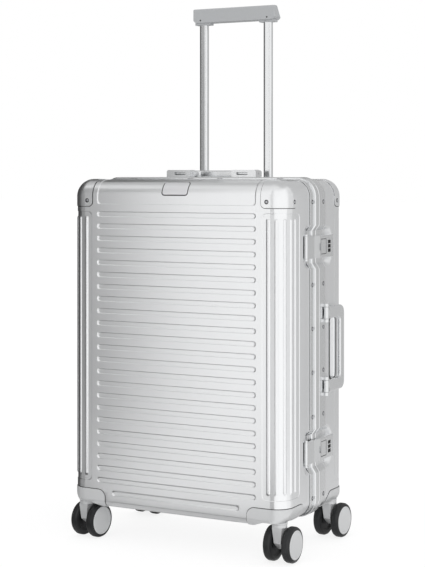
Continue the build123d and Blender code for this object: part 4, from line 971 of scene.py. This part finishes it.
def handle_shape(hinge, barrel_r, grip, across, arm, span):
    """Loop and hinge sleeves of a carrying handle, each as vertices and faces."""
    low, high = across
    start = hinge + (PIN_HOLE_R + barrel_r) / 2
    inner_r = LOOP_R / 2
    inner = grip[0] - inner_r
    outer = grip[1] - LOOP_R
    outline = (
        [(start, low)]
        + arc((outer, low + LOOP_R), LOOP_R, -90, 0)
        + arc((outer, high - LOOP_R), LOOP_R, 0, 90)
        + [(start, high), (start, high - arm)]
        + arc((inner, high - arm - inner_r), inner_r, 90, 0)
        + arc((inner, low + arm + inner_r), inner_r, 0, -90)
        + [(start, low + arm)]
    )
    sleeves = [sleeve(barrel_r, end, end + arm) for end in (low, high - arm)]
    return rounded_plate(outline, span[1] - span[0]), joined(sleeves)


def handle_piece(name, pieces):
    """One handle from several sets of vertices and faces."""
    made = closed_piece(name, *joined(pieces))
    flatten(made)
    dress(made, SILVER_ABS)
    return made


# Side handle: a flat loop with both outer corners rounded, on two sleeves
side_x, side_y = SIDE_PIVOT
(loop_verts, loop_faces), (sleeve_verts, sleeve_faces) = handle_shape(
    side_y, SIDE_BARREL_R, SIDE_GRIP_Y, SIDE_LOOP_Z, SIDE_ARM, SIDE_LOOP_X)
side_handle = handle_piece("side_handle_loop", [
    (loop_verts[:, (2, 0, 1)] + (sum(SIDE_LOOP_X) / 2, 0, 0), loop_faces),
    (np.array(sleeve_verts) + (side_x, side_y, 0), sleeve_faces),
])
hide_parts("side_handle")
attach(side_handle, "side_carry_handle")

# Top handle: the same kind of loop, with a grip that is thicker below, down to just above the case
top_y, top_z = TOP_PIVOT
(loop_verts, loop_faces), (sleeve_verts, sleeve_faces) = handle_shape(
    top_y, TOP_BARREL_R, TOP_GRIP_Y, TOP_LOOP_X, TOP_ARM, TOP_LOOP_Z)
loop_verts = loop_verts[:, (1, 0, 2)] + (0, 0, sum(TOP_LOOP_Z) / 2)
lower_side = np.clip((sum(TOP_LOOP_Z) / 2 - loop_verts[:, 2]) / TOP_DROP_EDGE, 0, 1)
drop = TOP_GRIP_DROP * lower_side * smooth(top_y + TOP_DROP_START, TOP_GRIP_Y[0], loop_verts[:, 1])
loop_verts[:, 2] -= drop
top_handle = handle_piece("top_handle_loop", [
    (loop_verts, loop_faces),
    (np.array(sleeve_verts)[:, (2, 0, 1)] + (0, top_y, top_z), sleeve_faces),
])
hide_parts("top_handle")
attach(top_handle, "top_carry_handle")


def port_height(tray):
    """Step in the rear lining under the trolley port."""
    x, d, z = tray.base.T
    turn = np.arctan2(z - tray.high[2], np.maximum(d - tray.high[1], 1e-9))
    back = (PORT_D - PORT_ROOM - tray.high[1]) / np.maximum(np.cos(turn), 1e-6)
    down = (PORT_Z - PORT_ROOM - tray.high[2]) / np.maximum(np.sin(turn), 1e-6)
    room = np.maximum(back, down) - PORT_CLEAR - tray.radius
    on_edge = (z > tray.high[2]) & (d > tray.high[1])
    return np.where(on_edge, np.minimum(room, 0) * smooth(*PORT_STEP_X, np.abs(x)), 0)


def over_wells(spots):
    """Lining lifted over the wheel wells of its half."""
    x, d, z = spots.T
    reach = np.hypot(np.abs(x) - PIVOT[0], d - PIVOT[1])
    floor_z = CASE_Z[0] + LINING_GAP
    lift = floor_z + (LINING_WELL_Z - floor_z) * np.clip(
        (LINING_WELL_R[1] - reach) / (LINING_WELL_R[1] - LINING_WELL_R[0]), 0, 1)
    lifted = spots.copy()
    lifted[:, 2] = np.where(lift > floor_z, np.maximum(z, lift + LINING_WELL_SLOPE * (z - floor_z)), z)
    return lifted


def cloth_ripple(tray):
    """Faint slack of the glued cloth, inwards only, in waves of about 70 to 300 mm."""
    x, d, z = tray.base.T
    slow = np.sin(x / 31 + z / 47 + 1.3) * np.sin(z / 38 - d / 29)
    quick = np.sin(x / 13 - z / 17 + d / 11)
    return -RIPPLE_MEAN - RIPPLE_SLOW * slow - RIPPLE_QUICK * quick


LINING_RUNS = (
    list(range(0, 184, 8)) + list(PORT_STEP_X) + [FLAT_EDGE + 4.0 * k for k in range(10)]
    + [SIDE_RUN - d for d in range(6, 96, 6)]
)
LINING_RISES = (
    list(range(96, 616, 9)) + around(LOCK_Z, (-DENT_MOUTH, -DENT_FLOOR, DENT_FLOOR, DENT_MOUTH))
    + [CASE_Z[1] - EDGE_R + (EDGE_R - LINING_GAP) * math.radians(a) for a in (0, 6, 12, 18, 24, 30, 36)]
    + [72.5, 75.0, 80.0, 88.0]
)
for name, side, rim, depth, dent_end, body, shell, cut, cut_area in (
    ("front_lining", -1, FRONT_LINING_RIM, DEPTH - LINING_GAP, FRONT_DENT_END,
     "front_case", "front_shell_pressing", (0.66, 0.82), 0.457),
    ("rear_lining", 1, REAR_LINING_RIM, REAR_LINING_D, REAR_DENT_END,
     "rear_case", "rear_shell_pressing", (0.61, 0.77), 0.408),
):
    cloth_tray = Tray(side, rim, depth, LINING_GAP, LINING_RUNS, thinned(LINING_RISES, LINING_LINE_GAP))
    cloth_tray.build()
    cloth_height = dent_height(cloth_tray, dent_end, 0.0) + cloth_ripple(cloth_tray)
    if side > 0:
        cloth_height = cloth_height + dish_height(cloth_tray, LINING_DISH_GROW) + port_height(cloth_tray)
    cloth = cloth_tray.mesh(f"{name}_cloth", over_wells(cloth_tray.placed(cloth_height)))
    thicken(cloth, LINING_T)
    dress(cloth, LINING)
    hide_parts(name)
    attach(cloth, body)

# Camera at the photograph's place, level, with its frame shifted down
CAMERA_AT = (1.2775, -2.350, 0.656)
CAMERA_TURN = 28.36
view = bpy.data.cameras.new("camera")
view.sensor_fit = "VERTICAL"
view.sensor_height = 36.0
view.lens = 93.67
view.shift_y = -0.1916
camera = bpy.data.objects.new("camera", view)
camera.location = CAMERA_AT
camera.rotation_euler = (math.radians(90), 0, math.radians(CAMERA_TURN))
scene.collection.objects.link(camera)
scene.camera = camera


def seen(tree):
    """Socket that is 1 for camera, mirrored and refracted rays."""
    ray = put(tree, "ShaderNodeLightPath").outputs
    shown = ray["Is Camera Ray"]
    for kind in ("Is Glossy Ray", "Is Transmission Ray"):
        shown = put(tree, "ShaderNodeMath", {0: shown, 1: ray[kind]}, operation="MAXIMUM").outputs["Value"]
    return shown


# Floor: white where it is seen or mirrored, and it keeps the shadow
FLOOR_LIFT = 0.72
bpy.ops.mesh.primitive_plane_add(size=60.0, location=(0, 0, -0.0002))
floor = bpy.context.object
floor.name = "floor"
floor_paint = blank("matte_white_studio_floor")
floor_tree = floor_paint.node_tree
matte = put(floor_tree, "ShaderNodeBsdfDiffuse", {"Color": linear("F2F2F2")})
glow = put(floor_tree, "ShaderNodeEmission", {"Color": linear("FFFFFF"), "Strength": 1.15})
lifted = put(floor_tree, "ShaderNodeMixShader", {
    0: FLOOR_LIFT, 1: matte.outputs["BSDF"], 2: glow.outputs["Emission"],
})
floor_shown = put(floor_tree, "ShaderNodeMixShader", {
    0: seen(floor_tree), 1: matte.outputs["BSDF"], 2: lifted.outputs["Shader"],
})
put(floor_tree, "ShaderNodeOutputMaterial", {"Surface": floor_shown.outputs["Shader"]})
floor.data.materials.append(floor_paint)

# Studio: white where it is seen or mirrored, a plain level for the rest
world = bpy.data.worlds.new("studio")
scene.world = world
world.use_nodes = True
sky = world.node_tree
sky.nodes.clear()
plain = put(sky, "ShaderNodeBackground", {"Color": linear("FFFFFF"), "Strength": 0.75})
white = put(sky, "ShaderNodeBackground", {"Color": linear("FFFFFF"), "Strength": 1.0})
sky_shown = put(sky, "ShaderNodeMixShader", {
    0: seen(sky), 1: plain.outputs["Background"], 2: white.outputs["Background"],
})
put(sky, "ShaderNodeOutputWorld", {"Surface": sky_shown.outputs["Shader"]})


def card(name, place, turn, size, tone):
    """Studio card that only reflections show; it lies flat before its turn in degrees."""
    half_w, half_h = size[0] / 2, size[1] / 2
    data = bpy.data.meshes.new(name)
    corners = [(-half_w, -half_h, 0), (half_w, -half_h, 0), (half_w, half_h, 0), (-half_w, half_h, 0)]
    data.from_pydata(corners, [], [(0, 1, 2, 3)])
    made = bpy.data.objects.new(name, data)
    made.location = place
    made.rotation_euler = [math.radians(angle) for angle in turn]
    made.visible_camera = False
    made.visible_diffuse = False
    made.visible_shadow = False
    paper = blank(f"{name}_paper")
    lit = put(paper.node_tree, "ShaderNodeEmission", {"Color": linear(tone), "Strength": 1.0})
    put(paper.node_tree, "ShaderNodeOutputMaterial", {"Surface": lit.outputs["Emission"]})
    data.materials.append(paper)
    scene.collection.objects.link(made)


# Key softbox: a square lamp at the front right, hidden from the camera and from reflections
KEY_AT = np.array((1.5, -1.9, 1.5))
KEY_AIM = np.array((0.0, 0.0, 0.4))
KEY_SIZE = 1.2
KEY_RADIANCE = 1.6
lamp = bpy.data.lights.new("key_softbox", "AREA")
lamp.shape = "RECTANGLE"
lamp.size = KEY_SIZE
lamp.size_y = KEY_SIZE
lamp.energy = math.pi * KEY_SIZE * KEY_SIZE * KEY_RADIANCE
key = bpy.data.objects.new("key_softbox", lamp)
key.location = KEY_AT
ahead = KEY_AIM - KEY_AT
key.rotation_euler = (math.atan2(math.hypot(*ahead[:2]), -ahead[2]), 0, math.atan2(-ahead[0], ahead[1]))
key.visible_camera = False
key.visible_glossy = False
scene.collection.objects.link(key)

# Cards that the metal mirrors: upright and overhead for the walls and the top, on the floor for lower faces
card("left_black_card", (-1.16, 0.31, 0.8), (90, 0, 75), (2.0, 2.2), "424242")
card("front_grey_card", (-1.66, -1.0, 0.8), (90, -4, 0), (2.06, 2.2), "8C8C8C")
card("strip_grey_card", (0.06, -1.31, 0.8), (90, 0, 0), (0.13, 2.2), "303030")
card("strip_floor_card", (0.10, -0.81, 0.005), (0, 0, -8), (0.13, 1.0), "848484")
card("right_grey_card", (0.377, 1.04, 0.8), (90, 0, -9.1), (1.17, 2.2), "BFBFBF")
card("wide_top_card", (0.0, 0.0, 2.0), (0, 0, 0), (2.6, 2.6), "E6E6E6")
card("rear_top_card", (0.0, 0.475, 1.99), (0, 0, 0), (2.6, 1.65), "C0C0C0")
card("near_floor_card", (-0.165, -0.24, 0.004), (0, 0, 0), (0.67, 0.2), "484848")
card("case_foot_card", (0.0, 0.0, 0.006), (0, 0, 0), (0.62, 0.28), "C0C0C0")
card("front_lip_card", (0.0, -0.139, 0.055), (0, 0, 0), (0.36, 0.03), "B4B4B4")
card("near_side_card", (0.42, 0.30, 0.42), (90, 0, 90), (0.2, 0.8), "C2C2C2")
card("behind_grey_card", (-0.76, 1.40, 0.8), (90, 0, 28.6), (1.6, 1.6), "787878")
card("left_floor_card", (-1.1, 0.5, 0.003), (0, 0, 0), (1.4, 1.4), "404040")
card("front_floor_card", (-1.686, -0.522, 0.002), (0, 0, -28.4), (2.4, 2.6), "A0A0A0")
card("middle_floor_card", (-0.2, -0.75, 0.002), (0, 0, -28.4), (0.62, 1.1), "ECECEC")
card("right_floor_card", (0.251, 0.86, 0.002), (0, 0, -38), (1.0, 1.4), "D0D0D0")
card("far_side_card", (1.5, 0.78, 0.8), (90, 0, 90), (1.2, 2.2), "DCDCDC")
card("far_floor_card", (0.95, 0.65, 0.001), (0, 0, 0), (1.1, 1.1), "DCDCDC")

scene.view_settings.view_transform = "Standard"
